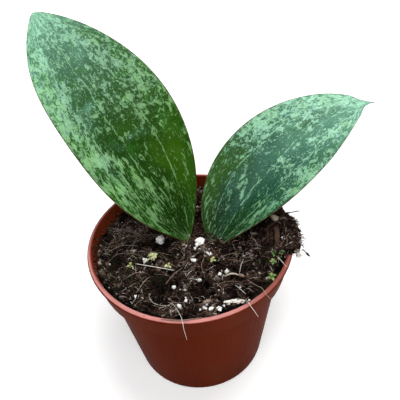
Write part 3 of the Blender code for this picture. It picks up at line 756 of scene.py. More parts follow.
def makeLeaf(leaf, material):
    count = leafMake["stations"]
    point = Vector(leaf["base"])
    rings, marks = [], []
    last = before = None
    for i in range(count + 1):
        s = (1 - math.cos(math.pi * i / count)) / 2
        forward, side, up = leafFrame(leaf, s)
        if i:
            point = point + (forward + last) * (s - before) * leaf["length"] / 2
        last, before = forward, s
        ring, mark = bladeRing(leaf, point, side, up, s)
        rings.append(ring)
        marks.append(mark)
    # drawn-out drip tip, which bends down and to the right
    for step in leafMake["dripSteps"]:
        half = (leafMake["tipHalf"] + leaf["dripHalf"]) * (1 - step) ** 1.7 + 0.12
        bend = leaf["dripDrop"] * step * step
        centre = point + forward * leaf["dripTip"] * step + side * bend - up * 0.5 * bend
        rings.append(ringOf(centre, side * half, up * 0.6 * half, leafMake["around"]))
        marks.append([(math.cos(a), 1.0 + 0.02 * step, 1.0, 0.5) for a in around(leafMake["around"])])
    stalk, stalkMarks = stalkRings(leaf, *leafFrame(leaf, 0.0)[:2])
    points, faces = joinRings(rings[::-1] + stalk)
    marks = [mark for ring in marks[::-1] + stalkMarks for mark in ring]
    marks += [marks[0], marks[-1]]
    flow, paint = [], []
    for u, s, _, _ in marks:
        half = halfWidth(leaf["left" if u < 0 else "right"], abs(s))
        width = leafMake["flowWidth"] + leafMake["flowShare"] * half
        drawn = drawnOut(s, *leaf["streaks"]) * leaf["length"]
        flow.append((u * width, drawn + leafMake["flowCurve"] * u * u, leaf["seed"]))
        pale = leaf["pale"] + painted(leaf["palePatches"], u, s)
        # teal: mostly painted sheen, a little the leaf's own bluer green
        tealSheen = max(0.0, s - leaf["tealSheenFrom"]) / (leaf["tealSheenTo"] - leaf["tealSheenFrom"])
        tealSheen += painted(leaf["tealSheenPatches"], u, s)
        paint.append((clamp(pale), clamp(tealSheen), min(1.0, painted(leaf["yellowPatches"], u, s))))
    addPiece(leaf["name"], points, faces, material, (leaf["node"],),
             {"leafPlace": [mark[:3] for mark in marks], "leafEdge": [mark[3] for mark in marks],
              "leafFlow": flow, "leafPaint": paint})


def makeLeafMaterial(leaf):
    paint = newPaint(leaf["name"] + "Skin", 0.40, 0.05)
    u, s, upper = paint.split(paint.mark("leafPlace", "Vector"))
    pale, tealSheen, yellow = paint.split(paint.mark("leafPaint", "Vector"))
    flow = paint.mark("leafFlow", "Vector")
    edge = paint.mark("leafEdge")

    # splashes: two nets of blotches, cut off at a level set by the paint
    level = paint.range(pale, 0.63, 0.39)
    drift = paint.range(paint.noise(flow, 0.11, 2.0, 0.5), -0.12, 0.12)
    blotch = paint.noise(paint.stretched(flow, (0.38, 0.28, 1.0)), 1.0, 6.0, 0.66, 0.6)
    blotch = paint.minus(paint.plus(blotch, drift), level)
    splash = paint.step(blotch, -0.006, 0.014)
    haze = paint.step(blotch, -0.050, 0.0)
    net = paint.noise(paint.stretched(flow, (0.85, 0.60, 2.0)), 1.0, 5.0, 0.66, 0.6)
    net = paint.step(paint.minus(net, level), 0.010, 0.040)
    # dark flecks left open in the pale parts
    gaps = paint.noise(paint.stretched(flow, (0.8, 0.55, 3.0)), 1.0, 5.0, 0.68, 0.5)
    gaps = paint.step(gaps, 0.535, 0.570)
    specks = paint.step(paint.noise(flow, 1.6, 4.0, 0.72), 0.618, 0.645)
    # broken pale lines along the side veins
    wobble = paint.range(paint.noise(flow, 0.10, 4.0, 0.6), -0.10, 0.10)
    vein = paint.math("PINGPONG", paint.plus(u, wobble), 0.25)
    broken = paint.step(paint.noise(flow, 0.34, 6.0, 0.75), 0.45, 0.52)
    line = paint.times(paint.flip(paint.step(vein, 0.004, 0.018)), broken)

    # fresher green here and there, most of all towards the sides, and less so at the tip
    sides = paint.range(paint.step(paint.math("ABSOLUTE", u), 0.35, 0.95), -0.05, 0.09)
    fresh = paint.step(paint.plus(paint.noise(flow, 0.20, 4.0, 0.6), sides), 0.47, 0.64)
    fresh = paint.times(fresh, paint.range(paint.step(s, 0.80, 0.97), 1.0, 0.0))
    fresh = paint.times(fresh, leaf["fresh"])
    # ground and splash colours turn teal with the painted sheen
    ground = paint.mix(fresh, paint.ramp(tealSheen, *leaf["ground"]), leafColours["freshGround"])
    ground = paint.mix(yellow, ground, leaf["yellow"])
    # darker and plainer towards the base
    far = paint.step(s, 0.06, 0.36)
    shade = paint.range(paint.noise(flow, 0.16, 5.0, 0.6), 0.50, 1.26)
    ground = paint.shade(ground, paint.times(shade, paint.range(far, 0.66, 1.0)))

    tone = paint.range(paint.noise(flow, 0.8, 5.0, 0.65), 0.56, 1.38)
    tone = paint.times(tone, paint.range(pale, 0.85, 1.20))
    warm = paint.times(paint.step(paint.noise(flow, 0.09, 3.0, 0.6), 0.48, 0.66), 0.30)
    chalk = paint.mix(warm, paint.ramp(tealSheen, *leaf["chalk"]), leafColours["warmChalk"])
    chalk = paint.shade(paint.mix(fresh, chalk, leafColours["freshChalk"]), tone)

    thin = paint.range(paint.noise(flow, 0.45, 4.0, 0.6), 0.45, 1.45)
    cover = paint.times(splash, paint.range(gaps, 0.88, 0.25))
    cover = paint.times(cover, paint.range(far, 0.56, 1.0))
    cover = paint.smaller(paint.times(cover, thin), 0.95)
    cover = paint.larger(cover, paint.times(specks, 0.65))
    cover = paint.larger(cover, paint.times(line, 0.85))
    colour = paint.mix(paint.times(haze, 0.10), ground, chalk)
    colour = paint.mix(paint.times(net, 0.60), colour, chalk)
    colour = paint.mix(cover, colour, chalk)

    # underside, stalk and the thin dark margin
    mottle = paint.range(paint.noise(flow, 0.25, 4.0), 0.85, 1.15)
    colour = paint.mix(upper, paint.shade(leafColours["underside"], mottle), colour)
    stalk = paint.times(paint.flip(paint.step(s, 0.0, 0.045)), 0.6)
    colour = paint.mix(stalk, colour, leafColours["stalk"])
    margin = paint.flip(paint.step(edge, 0.20, 0.75))
    margin = paint.times(margin, paint.range(paint.step(s, 0.45, 0.9), 0.80, 0.30))
    margin = paint.larger(margin, paint.times(paint.step(s, 1.006, 1.016), 0.8))
    paint.put("Base Color", paint.mix(margin, colour, leafColours["margin"]))

    paint.put("Roughness", paint.range(paint.noise(flow, 0.35, 4.0), 0.30, 0.46))
    veins = paint.plus(paint.times(line, -0.5), paint.noise(flow, 2.2, 3.0))
    veins = paint.bump(veins, 0.30, 0.00012)
    paint.put("Normal", paint.bump(paint.noise(flow, 0.28, 2.0), 0.35, 0.0006, veins))
    return paint.owner


# pot

potLook = {
    "outside": "#551b08",
    "outsideWorn": "#5f220b",
    "inside": "#8e3616",
    # painted light: the inner wall is lighter than the outside, as if lit through the thin plastic, and
    # painted shade darkens it at the back
    "insideBack": "#6c2912",
    "lip": "#c0807b",          # painted highlight on the flat top of the lip
    "lipRightHighlight": "#8b5047",     # a weaker painted highlight on the right
    "lipInner": "#6a2a20",     # painted shade on the inner side of the lip, but not at the front
    "stain": "#2c1512",
    "dust": "#4b3222",
    "lipFrom": 0.0843,         # metres
    "roughness": 0.45,
}


def makePotMaterial():
    # thin moulded plastic: fine grain, faint flow marks, dusty low down and soil-stained near the top
    look = potLook
    paint = newPaint("mouldedPlastic", look["roughness"], 0.005)
    place = paint.place()
    x, y, height = paint.split(place)
    level = paint.stretched(place, (1.0, 1.0, 0.0))
    flowMarks = paint.noise(paint.stretched(place, (1.0, 1.0, 0.25)), 26.0, 4.0, 0.5)
    colour = paint.mix(paint.step(flowMarks, 0.35, 0.75), look["outside"], look["outsideWorn"])
    smear = paint.noise(paint.stretched(place, (1.0, 1.0, 0.4)), 75.0, 6.0, 0.65, 0.5)
    low = paint.flip(paint.step(height, 0.0, 0.055))
    dust = paint.times(paint.step(smear, 0.52, 0.70), paint.range(low, 0.06, 0.45))
    colour = paint.mix(dust, colour, look["dust"])

    # faces that look towards the middle of the pot are the inside
    facing = paint.node("NewGeometry", {}).outputs["Normal"]
    facing = paint.node("VectorMath", {0: facing, 1: level}, operation="DOT_PRODUCT").outputs["Value"]
    # the inner wall: painted light, with painted shade at the back
    inside = paint.mix(paint.step(y, 0.015, 0.040), look["inside"], look["insideBack"])
    colour = paint.mix(paint.math("LESS_THAN", facing, -0.015), colour, inside)

    # painted highlight on the top of the lip, weaker on the right, with painted shade on its inner side
    # except at the front
    right = paint.step(x, 0.012, 0.036)
    lip = paint.mix(right, look["lip"], look["lipRightHighlight"])
    inner = paint.flip(paint.step(paint.length(level), 0.0504, 0.0515))
    lip = paint.mix(paint.times(inner, paint.step(y, -0.040, -0.015)), lip, look["lipInner"])
    lip = paint.shade(lip, paint.range(paint.noise(place, 160.0, 4.0, 0.6), 0.70, 1.25))
    stained = paint.step(paint.noise(place, 60.0, 5.0, 0.7), 0.60, 0.72)
    lip = paint.mix(paint.times(stained, 0.75), lip, look["stain"])
    onLip = paint.plus(height, paint.range(smear, -0.0002, 0.0002))
    onLip = paint.step(onLip, look["lipFrom"], look["lipFrom"] + 0.0004)
    colour = paint.mix(onLip, colour, lip)

    spots = paint.step(paint.noise(place, 420.0, 3.0, 0.6), 0.74, 0.78)
    spots = paint.times(spots, paint.range(paint.step(height, 0.060, 0.084), 0.10, 0.7))
    paint.put("Base Color", paint.mix(spots, colour, look["stain"]))
    scuffs = paint.noise(paint.stretched(place, (1.0, 1.0, 6.0)), 180.0, 4.0, 0.6)
    scuffs = paint.range(scuffs, look["roughness"] - 0.10, look["roughness"] + 0.10)
    paint.put("Roughness", paint.plus(scuffs, paint.times(dust, 0.3)))
    grain = paint.bump(paint.noise(place, 900.0, 2.0), 0.25, 0.00008)
    ripple = paint.noise(paint.stretched(place, (1.0, 1.0, 0.5)), 60.0, 2.0)
    paint.put("Normal", paint.bump(ripple, 0.25, 0.0006, grain))
    return paint.owner


# peat

peatLook = {
    "tones": (
        (0.0, "#020202"), (0.28, "#1b1410"), (0.47, "#4a3d36"), (0.70, "#7f7268"), (1.0, "#beb5ab"),
    ),
    "tone": 0.22,               # on level ground
    "reliefShadeTone": 0.34,         # painted shade: lighter on what stands up and darker in the gaps; and lighter in the dry patches
    "patchTone": 0.40,
    "limits": (-0.1, 0.75),
    "heapTone": -0.27,
    "heapMottle": (0.24, 2.5),  # amount and size
    "heapMoss": 0.6,
    "red": "#4a2418",
    "moss": "#2b401a",
    # where moss has begun to grow: x, y, reach, amount
    "mossPatches": (
        (-36, -12, 11, 1.0), (-22, -24, 8, 0.6), (-18, -20, 6, 0.4), (40, -22, 7, 0.6),
        (36, -30, 6, 0.5), (-30, 0, 9, 0.35), (-8, -8, 7, 0.35),
    ),
}


def mossAt(x, y):
    return min(1.0, spotSum(peatLook["mossPatches"], x, y))


def makePeatMaterial():
    paint = newPaint("peat", 0.9, 0.05)
    place = paint.place()
    grain = paint.noise(place, 900.0, 5.0, 0.7)
    value = paint.plus(paint.mark("tone"), paint.range(grain, -0.38, 0.38))
    # the gaps keep their painted shade and stay black, so that redness and moss only show on what
    # stands up
    raised = paint.step(value, 0.12, 0.42)
    redness = paint.times(paint.step(paint.noise(place, 120.0, 4.0, 0.6), 0.50, 0.66), 0.55)
    colour = paint.ramp(value, *peatLook["tones"])
    colour = paint.mix(paint.times(redness, raised), colour, peatLook["red"])
    tuft = paint.step(paint.noise(place, 330.0, 4.0, 0.7), 0.42, 0.60)
    tuft = paint.times(paint.mark("moss"), paint.times(tuft, paint.range(raised, 0.35, 1.0)))
    paint.put("Base Color", paint.mix(tuft, colour, peatLook["moss"]))
    paint.put("Roughness", paint.range(paint.noise(place, 240.0, 3.0), 0.72, 1.0))
    paint.put("Normal", paint.bump(grain, 0.9, 0.0005))
    return paint.owner


def makePeat(material):
    # the open top is fine and pitted; the sides and the bottom lie inside the pot
    look = peatLook
    rings, segments, edge = peat["rings"], peat["segments"], peat["radius"]
    points, tones, mosses = [], [], []
    for i in range(rings):
        radius = edge * (i + 1) / rings
        for turn in around(segments):
            x, y = radius * math.cos(turn), radius * math.sin(turn)
            rough = crumbling(x, y)
            fade = min(1.0, (edge - radius) / 1.5 + 0.2)
            points.append(Vector((x, y, peatLevel(x, y) + rough * fade)) * mm)
            # painted shade: the tone follows the relief, darker in pits and hollows, and darker in the
            # listed shaded patches
            tone = look["tone"] + look["reliefShadeTone"] * rough + look["patchTone"] * patchAt(x, y)
            tones.append(clamp(tone, *look["limits"]))
            mosses.append(mossAt(x, y))
    sides = (
        (pot["collarRadius"] - pot["wall"] - 0.4, 72.0),
        (pot["wallTopRadius"] - pot["wall"] - 0.6, 71.4),
        (pot["baseRadius"] - 1.2, 4.4), (pot["baseRadius"] - 3.5, 2.7),
    )
    for radius, z in sides:
        points += [(outwards(turn) * radius + upwards(z)) * mm for turn in around(segments)]
        tones += [0.25] * segments
        mosses += [0.0] * segments
    faces = []
    for i in range(rings + len(sides) - 1):
        a, b = i * segments, (i + 1) * segments
        for k in range(segments):
            m = (k + 1) % segments
            faces.append((a + k, b + k, b + m, a + m))
    last = len(points) - segments
    faces += [tuple(range(segments)), tuple(range(last + segments - 1, last - 1, -1))]
    addPiece("peatBall", points, faces, material, ("soil",), {"tone": tones, "moss": mosses})


def makeHeap(material):
    # each ring runs under the heap and over the lip, and back over its top
    count, across, edge = heap["stationCount"], heap["acrossCount"], peat["radius"]
    rings = []
    for i in range(count + 1):
        angle = heapStart + (heapEnd - heapStart) * i / count
        out = outwards(angle)
        inner, outer = heapShape(angle)[1:]
        climb, crossing, hanging = heapEndStages(angle)
        start, foot = (peatLevel(out.x * radius, out.y * radius) for radius in (inner, edge))
        under = foot + (pot["height"] + heap["gap"] - foot) * climb
        lip = min(outer - 0.3, heap["lipOuter"])
        hang = heap["hang"] * hanging
        ring = [(inner, start - heap["sunk"]), (edge, foot - heap["sunk"]), (edge, under), (lip, under),
                (lip, under - hang), (max(lip + 0.1, outer - 0.5), under - hang + 0.3 * hanging)]
        for k in range(across + 1):
            radius = outer + (inner - outer) * k / across
            push = crumbling(out.x * radius, out.y * radius, 20.0)
            push *= min(1.0, 6 * min(k, across - k) / across) * (0.3 + 0.7 * climb)
            ring.append((radius + 0.6 * push, heapTop(radius, angle) + push))
        rings.append([(out * radius + upwards(z)) * mm for radius, z in ring])
    points, faces = joinRings(rings)
    amount, size = peatLook["heapMottle"]
    tones = [amount * noise.noise(point / mm / size) + peatLook["heapTone"] for point in points]
    mosses = [peatLook["heapMoss"] * mossAt(point.x / mm, point.y / mm) for point in points]
    marks = {"tone": tones, "moss": mosses}
    addPiece("peatHeap", points, faces, material, ("soil_heap",), marks)


crumbs = {
    "coarse": (520, (0.9, 2.6), 2),     # count, size, roundness
    "fine": (7600, (0.35, 1.2), 1),
    "heapShare": 0.20,
    "heapDark": 0.20,
    "heapFrom": 4.0,            # height over the peat from which they count as part of the heap
    "stand": (-0.1, 0.5),       # how far they stand out of the ground, as a share of the size
    "squash": ((0.8, 1.9), (0.5, 1.0), (0.35, 0.8)),
    "corners": (0.65, 1.3),     # how far their corners reach
    # how often a crumb is dark, middling or light, and the tones of each
    "shades": ((0.46, 0.0, 0.22), (0.88, 0.28, 0.58), (1.0, 0.62, 1.0)),
}


def isClear(x, y):
    # no crumbs or fibres on top of the grains and chips
    for px, py, size in grains["places"]:
        if math.hypot(x - px, y - py) < 0.45 * size:
            return False
    for _, px, py, heading, length, width, *_ in chips.values():
        forwards, sideways = math.cos(math.radians(heading)), math.sin(math.radians(heading))
        ahead = abs((x - px) * forwards + (y - py) * sideways)
        aside = abs((y - py) * forwards - (x - px) * sideways)
        if ahead < 0.5 * length and aside < 0.6 * width:
            return False
    return True


def heapSpot(pick):
    # a random angle within the heap, and the inner and outer radius there
    angle = math.radians(pick.uniform(heap["start"] + 2, heap["end"] - 2))
    return (angle, *heapShape(angle)[1:])


def spotOnGround(pick, onHeap=0.0):
    # a random place on the peat, or on the heap, and the height of the ground there
    if pick.random() < onHeap:
        angle, inner, outer = heapSpot(pick)
        radius = pick.uniform(inner, outer - 0.8)
        return radius * math.cos(angle), radius * math.sin(angle), heapTop(radius, angle)
    angle = pick.uniform(0, 2 * math.pi)
    radius = (peat["radius"] - 0.6) * math.sqrt(pick.random())
    x, y = radius * math.cos(angle), radius * math.sin(angle)
    return x, y, groundLevel(x, y)


def scatterCrumbs(name, group, material, seed):
    count, sizes, roundness = group
    pick = random.Random(seed)
    shape, faces = icoShape(roundness)
    parts = PartsList()
    for _ in range(count):
        x, y, z = spotOnGround(pick, crumbs["heapShare"])
        if not isClear(x, y):
            continue
        size = anySize(pick, sizes) / 2
        turn = Matrix.Rotation(pick.uniform(0, 6.28), 3, anyWay(pick))
        squash = Vector([pick.uniform(low, high) for low, high in crumbs["squash"]])
        centre = Vector((x, y, z + size * pick.uniform(*crumbs["stand"]) + 0.5 * crumbling(x, y)))
        points = [(centre + turn @ (p * squash) * size * pick.uniform(*crumbs["corners"])) * mm
                  for p in shape]
        draw = pick.random()
        low, high = next((low, high) for share, low, high in crumbs["shades"] if draw <= share)
        # crumbs share the painted shade of the listed shaded patches
        dark = max(0.0, 1.0 + 1.2 * patchAt(x, y))
        if z > peat["level"] + crumbs["heapFrom"]:
            dark = crumbs["heapDark"]
        parts.add(points, faces, min(1.0, pick.uniform(low, high) * dark))
    parts.finish(name, material)


# fibres and roots

fibreTones = (
    (0.0, "#0e0806"), (0.25, "#38271f"), (0.45, "#5f473a"), (0.65, "#877365"), (0.85, "#b8ab9b"),
    (1.0, "#efede7"),
)

# groups: count, thickness, length, lift over the ground, curl, tone, heap share
fibreGroups = {
    "peatTwigs": (240, (0.18, 0.42), (2.5, 8.0), (-0.1, 1.3), 0.15, (0.0, 0.26), 0.40),
    "darkFibres": (2000, (0.07, 0.18), (1.5, 6.0), (-0.3, 1.2), 0.30, (0.0, 0.30), 0.34),
    "brownFibres": (1600, (0.05, 0.11), (1.2, 5.5), (-0.2, 1.4), 0.20, (0.26, 0.64), 0.12),
    "paleFibres": (600, (0.04, 0.09), (1.2, 5.0), (0.0, 1.8), 0.15, (0.66, 0.96), 0.10),
}


def makeFibreMaterial():
    paint = newPaint("dryFibre", 0.8, 0.1)
    place = paint.place()
    grain = paint.range(paint.noise(place, 1400.0, 3.0, 0.6), -0.14, 0.14)
    paint.put("Base Color", paint.ramp(paint.plus(paint.mark("tone"), grain), *fibreTones))
    paint.put("Roughness", paint.range(paint.noise(place, 700.0, 2.0), 0.6, 0.95))
    paint.put("Normal", paint.bump(paint.noise(place, 2400.0, 3.0), 0.6, 0.0001))
    return paint.owner


def overHeap(x, y):
    return heap["start"] + 5 < math.degrees(math.atan2(y, x)) < heap["end"] - 5


def wanderingPath(pick, x, y, heading, length, lift, curl, steps=5):
    path = []
    bend = pick.gauss(0, curl)
    for i in range(steps + 1):
        path.append(onGround(x, y, 0.3 + lift * math.sin(math.pi * (0.12 + 0.76 * i / steps))) * mm)
        heading += bend / steps + pick.gauss(0, 0.12) * curl
        x += math.cos(heading) * length / steps
        y += math.sin(heading) * length / steps
        radius = math.hypot(x, y)
        if radius > pot["rimRadius"] + 2.5 or radius > peat["radius"] - 0.5 and not overHeap(x, y):
            break
    return path


def taper(count, radius, end=0.45):
    # radii of a strand that is thickest in the middle
    swell = [math.sin(math.pi * (0.1 + 0.8 * i / (count - 1))) for i in range(count)]
    return [radius * (end + (1 - end) * share) for share in swell]


def scatterFibres(name, group, material, seed):
    count, thickness, length, lift, curl, tone, heapShare = group
    pick = random.Random(seed)
    parts = PartsList()
    for _ in range(count):
        x, y, _ = spotOnGround(pick, heapShare)
        if not isClear(x, y):
            continue
        path = wanderingPath(pick, x, y, pick.uniform(0, 2 * math.pi), pick.uniform(*length),
                             pick.uniform(*lift), curl)
        # fibres share the painted shade of the listed shaded patches
        shade = pick.uniform(*tone) * clamp(1.0 + 1.1 * patchAt(x, y), 0.1, 1.15)
        if len(path) > 3:
            parts.addTube(path, taper(len(path), pick.uniform(*thickness) * mm), 4, shade)
    parts.finish(name, material)


rootTangle = {
    # matted fine roots on the left of the peat
    "count": 62,
    "middle": (-31.0, 12.0),
    "reach": 7.8,
    "heading": (0.15, 0.62),    # middle and spread, in radians
    "curl": 0.36,
    "length": (6.0, 20.0),
    "thickness": (0.03, 0.075),
    "lift": (0.4, 3.6),
    "tone": (0.36, 0.95),
}

heapTufts = {
    # wiry fibres that stand out of the heap
    "count": 620,
    "length": (2.0, 8.5),
    "thickness": (0.06, 0.18),
    "outwards": (0.35, 0.5),            # how much they lean outwards inside, and how that grows
    "upwards": 0.45,
    "spread": (0.5, 0.8, 0.5),          # outwards, sideways and upwards
    "droop": (2.5, 0.8),                # they hang down beyond this share of the way out
    "tone": (0.0, 0.34),
    "paleShare": 0.24,
    "paleTone": (0.50, 0.95),
}


def makeRootTangle(material):
    pick = random.Random(5)
    parts = PartsList()
    for _ in range(rootTangle["count"]):
        x, y = (pick.gauss(middle, rootTangle["reach"]) for middle in rootTangle["middle"])
        if math.hypot(x, y) > peat["radius"] - 2:
            continue
        heading = pick.gauss(*rootTangle["heading"]) + math.pi * pick.randint(0, 1)
        length, lift = pick.uniform(*rootTangle["length"]), pick.uniform(*rootTangle["lift"])
        path = wanderingPath(pick, x, y, heading, length, lift, rootTangle["curl"], 12)
        if len(path) > 4:
            thickness = pick.uniform(*rootTangle["thickness"]) * mm
            parts.addTube(path, taper(len(path), thickness, 0.3), 4, pick.uniform(*rootTangle["tone"]))
    parts.finish("rootTangle", material)


def makeHeapTufts(material):
    pick = random.Random(8)
    parts = PartsList()
    lean, leanMore = heapTufts["outwards"]
    spreadOut, spreadSide, spreadUp = heapTufts["spread"]
    droop, droopFrom = heapTufts["droop"]
    for _ in range(heapTufts["count"]):
        angle, inner, outer = heapSpot(pick)
        share = pick.random() ** 0.6
        radius = inner + (outer - inner - 0.3) * share
        out = outwards(angle)
        side = Vector((-out.y, out.x, 0))
        start = out * radius + upwards(heapTop(radius, angle) - 0.5)
        if not isClear(start.x, start.y):
            continue
        way = out * pick.gauss(lean + leanMore * share, spreadOut) + side * pick.gauss(0, spreadSide)
        way.z = pick.gauss(heapTufts["upwards"], spreadUp) - droop * max(0.0, share - droopFrom)
        length = pick.uniform(*heapTufts["length"]) * (0.5 if share > 0.75 else 0.8)
        sag = pick.uniform(0.0, 0.6)
        path = []
        for i in range(7):
            t = i / 6
            drift = anyWay(pick, 0.06)
            drop = upwards(0.5 * sag * length * t * t)
            path.append((start + way.normalized() * length * t + drift - drop) * mm)
        isPale = pick.random() < heapTufts["paleShare"] * share ** 2
        shade = pick.uniform(*heapTufts["paleTone" if isPale else "tone"])
        shade *= 0.5 + 0.8 * smoothShare(share, 0.5, 0.9)
        parts.addTube(path, taper(7, pick.uniform(*heapTufts["thickness"]) * mm, 0.3), 4, shade)
    parts.finish("heapTufts", material)


# single roots, straws and twigs: node, thickness, tone, lumps, then the points as
# x, y and lift over the ground, or x, y and height for the free ones
lyingStrands = {
    "dryStalk": (
        "dry_stalk", 0.19, 0.95, 0.10, ((-28.4, -9.8, 1.4), (-18.9, -13.6, 1.3), (-9.3, -17.7, 1.2)),
    ),
    "darkTwig": (
        "dark_twig", 0.26, 0.55, 0.25, ((-13.9, -26.0, 0.8), (-9.8, -20.5, 1.5), (-5.2, -16.6, 0.9)),
    ),
    "greyStick": (
        "grey_stick", 0.44, 0.84, 0.35, ((14.4, -25.9, 1.0), (18.0, -25.8, 1.4), (21.7, -27.0, 1.2)),
    ),
    "rootFrontLeft": (
        "root_front_left", 0.13, 0.88, 0.15,
        ((-22.2, -31.1, 0.7), (-20.2, -36.2, 1.1), (-16.6, -37.6, 1.0), (-12.6, -38.8, 0.8)),
    ),
}

freeStrands = {
    "strawOnRim": (
        "straw_on_rim", 0.11, 0.95, 0.15,
        ((22.1, -44.1, 85.3), (22.6, -46.4, 86.0), (25.4, -54.1, 86.2)),
    ),
    "rootOverRim": (
        "root_over_rim", 0.11, 1.0, 0.05,
        ((-11.3, -38.3, 82.2), (-9.4, -42.8, 83.2), (-8.0, -47.6, 84.9), (-7.5, -50.4, 85.8),
         (-7.2, -52.6, 85.7), (-7.1, -53.7, 83.6), (-6.9, -53.3, 79.6), (-6.5, -52.5, 73.2)),
    ),
    "rootFrontRight": (
        "root_front_right", 0.10, 0.80, 0.10,
        ((24.8, -30.1, 82.2), (28.2, -35.4, 83.8), (29.9, -38.5, 85.5), (31.2, -42.9, 86.0),
         (32.6, -45.6, 86.0)),
    ),
    "rootRightLow": (
        "root_right_low", 0.24, 0.30, 0.20,
        ((53.4, -18.3, 86.2), (54.4, -19.4, 85.8), (55.4, -20.5, 84.8)),
    ),
    "rootRightHigh": (
        "root_right_high", 0.22, 0.35, 0.25,
        ((50.4, 8.7, 85.5), (52.0, 8.9, 85.5), (55.9, 8.4, 85.7), (60.3, 8.4, 85.9)),
    ),
}

# more roots and straws on the peat, as thickness, tone and points
extraStrands = (
    (0.15, 0.92, ((18.6, -31.9, 1.0), (20.5, -35.5, 1.3), (22.6, -38.3, 1.0))),
    (0.15, 0.90, ((25.0, -17.0, 1.3), (23.2, -21.0, 1.9), (21.6, -26.1, 1.3))),
    (0.10, 0.80, ((-8.0, -39.6, 0.8), (-10.4, -38.0, 1.2), (-16.0, -38.8, 0.9), (-20.5, -37.0, 0.6))),
    (0.11, 0.80, ((7.6, 0.8, 2.2), (6.9, -3.6, 3.4), (6.4, -7.6, 1.0))),
    (0.09, 0.72, ((-43.0, -6.0, 1.0), (-38.0, -2.6, 2.4), (-31.0, -2.2, 1.8), (-26.0, -4.2, 0.8))),
    (0.09, 0.84, ((-44.5, 0.4, 1.2), (-36.0, 3.6, 3.0), (-27.0, 2.4, 1.6))),
    (0.09, 0.78, ((-34.0, -19.0, 0.8), (-29.0, -16.0, 1.6), (-24.6, -15.0, 0.8))),
    (0.10, 0.84, ((-28.0, -28.0, 0.8), (-24.0, -22.4, 1.6), (-21.2, -19.0, 0.8))),
    (0.09, 0.72, ((-20.4, -1.0, 1.0), (-20.2, -6.4, 2.2), (-20.6, -10.0, 0.8))),
    (0.09, 0.66, ((14.0, -13.0, 0.9), (19.0, -12.0, 1.7), (24.6, -12.6, 0.9))),
    (0.10, 0.72, ((5.8, -12.8, 0.8), (4.2, -18.0, 1.7), (5.2, -24.4, 0.8))),
    (0.09, 0.70, ((-1.8, -27.0, 0.9), (-4.2, -31.0, 1.6), (-2.6, -35.2, 0.8))),
    (0.09, 0.66, ((10.0, -30.4, 0.8), (15.6, -29.2, 1.6), (21.8, -30.4, 0.8))),
    # the knot at the end of the grey stick
    (0.80, 0.62, ((21.0, -27.0, 1.3), (22.2, -27.3, 1.7), (23.6, -27.9, 1.2))),
)

# wisps round the heap, as thickness, tone and points at their full height
wisps = (
    (0.16, 0.95, ((40.6, -21.5, 86.4), (42.3, -23.4, 85.1), (43.7, -28.0, 85.6))),
    (0.08, 0.66, ((55.6, -11.8, 86.5), (59.4, -15.6, 86.8), (63.4, -20.6, 85.8))),
    (0.08, 0.70, ((57.6, -20.0, 85.3), (60.0, -22.6, 85.2), (62.6, -25.8, 84.6))),
    (0.07, 0.70, ((52.6, -21.6, 85.0), (54.0, -23.4, 84.6), (55.1, -26.6, 84.0))),
    (0.15, 0.25, ((50.8, 6.4, 87.4), (53.4, 6.0, 87.8), (58.4, 7.0, 88.0))),
    (0.28, 0.20, ((46.0, -0.5, 86.9), (47.6, 0.1, 88.0), (49.1, 0.5, 89.0))),
    (0.13, 0.90, ((46.4, 5.5, 87.3), (47.2, 3.0, 88.0), (47.6, 0.4, 88.3))),
    (0.13, 0.92, ((45.5, -16.8, 87.9), (47.7, -15.8, 88.3), (50.4, -14.7, 88.7))),
    # thick dark strands over the lip behind the heap, and more of them within the heap
    (1.75, 0.24, ((50.0, 5.5, 86.2), (49.4, 11.5, 86.4), (46.6, 20.5, 86.2))),
    (1.30, 0.10, ((46.8, 5.5, 84.2), (47.0, 10.5, 84.4), (45.0, 17.5, 84.0))),
    (0.80, 0.22, ((45.2, -0.8, 88.0), (48.8, 3.4, 88.8), (52.4, 6.6, 87.4))),
    (0.70, 0.20, ((38.5, -2.5, 84.9), (41.5, -0.5, 86.4), (46.5, 1.2, 88.2))),
    (0.60, 0.18, ((38.2, -10.5, 84.6), (39.4, -5.5, 85.8), (39.6, -1.0, 85.4))),
    # a tan splinter along the inside of the lip at the front
    (0.34, 0.58, ((-16.5, -48.4, 85.0), (-8.0, -50.3, 85.2), (1.5, -50.2, 85.1))),
)

# tufts of pale fluff on the outside of the heap, and the club end of the dark root on the right
fluff = {
    "places": (
        (53.6, 3.6, 86.6), (55.2, 1.0, 86.6), (53.6, -14.4, 86.2), (50.6, -20.3, 86.0),
        (51.6, -21.5, 85.2),
    ),
    "count": 26,
    "thickness": 0.06,
    "tone": (0.75, 1.0),
}
club = {
    "points": ((54.9, -20.0, 85.3), (55.6, -20.7, 84.7), (56.3, -21.3, 84.1), (56.8, -21.7, 83.7)),
    "radii": (0.25, 0.55, 0.5, 0.2),
    "tone": 0.15,
}
rootlets = {
    "lumpsFrom": 0.1,       # strands lumpier than this have one at every few points, others one in all
    "every": 7,
    "reach": (0.8, 2.0),
    "thickness": 0.06,
}


def makeStrand(name, node, thickness, tone, lumps, path, material):
    path = smoothPath([p * mm for p in path], 10)
    parts = PartsList()
    parts.addTube(path, taper(len(path), thickness * mm, 0.4), 8, tone, lumps)
    pick = random.Random(name)
    every = rootlets["every"] if lumps > rootlets["lumpsFrom"] else len(path)
    for i in range(4, len(path) - 3, every):
        way = Vector((pick.gauss(0, 1), pick.gauss(0, 1), pick.gauss(0, 0.3))).normalized()
        tip = path[i] + way * pick.uniform(*rootlets["reach"]) * mm
        middle = path[i].lerp(tip, 0.5) + upwards(0.3 * mm)
        parts.addTube(smoothPath([path[i], middle, tip], 3), [rootlets["thickness"] * mm] * 7, 4, tone)
    parts.finish(name, material, (node,))


def lyingPoints(points):
    return [onGround(*point) for point in points]


def freePoints(points):
    return [Vector(point) for point in points]


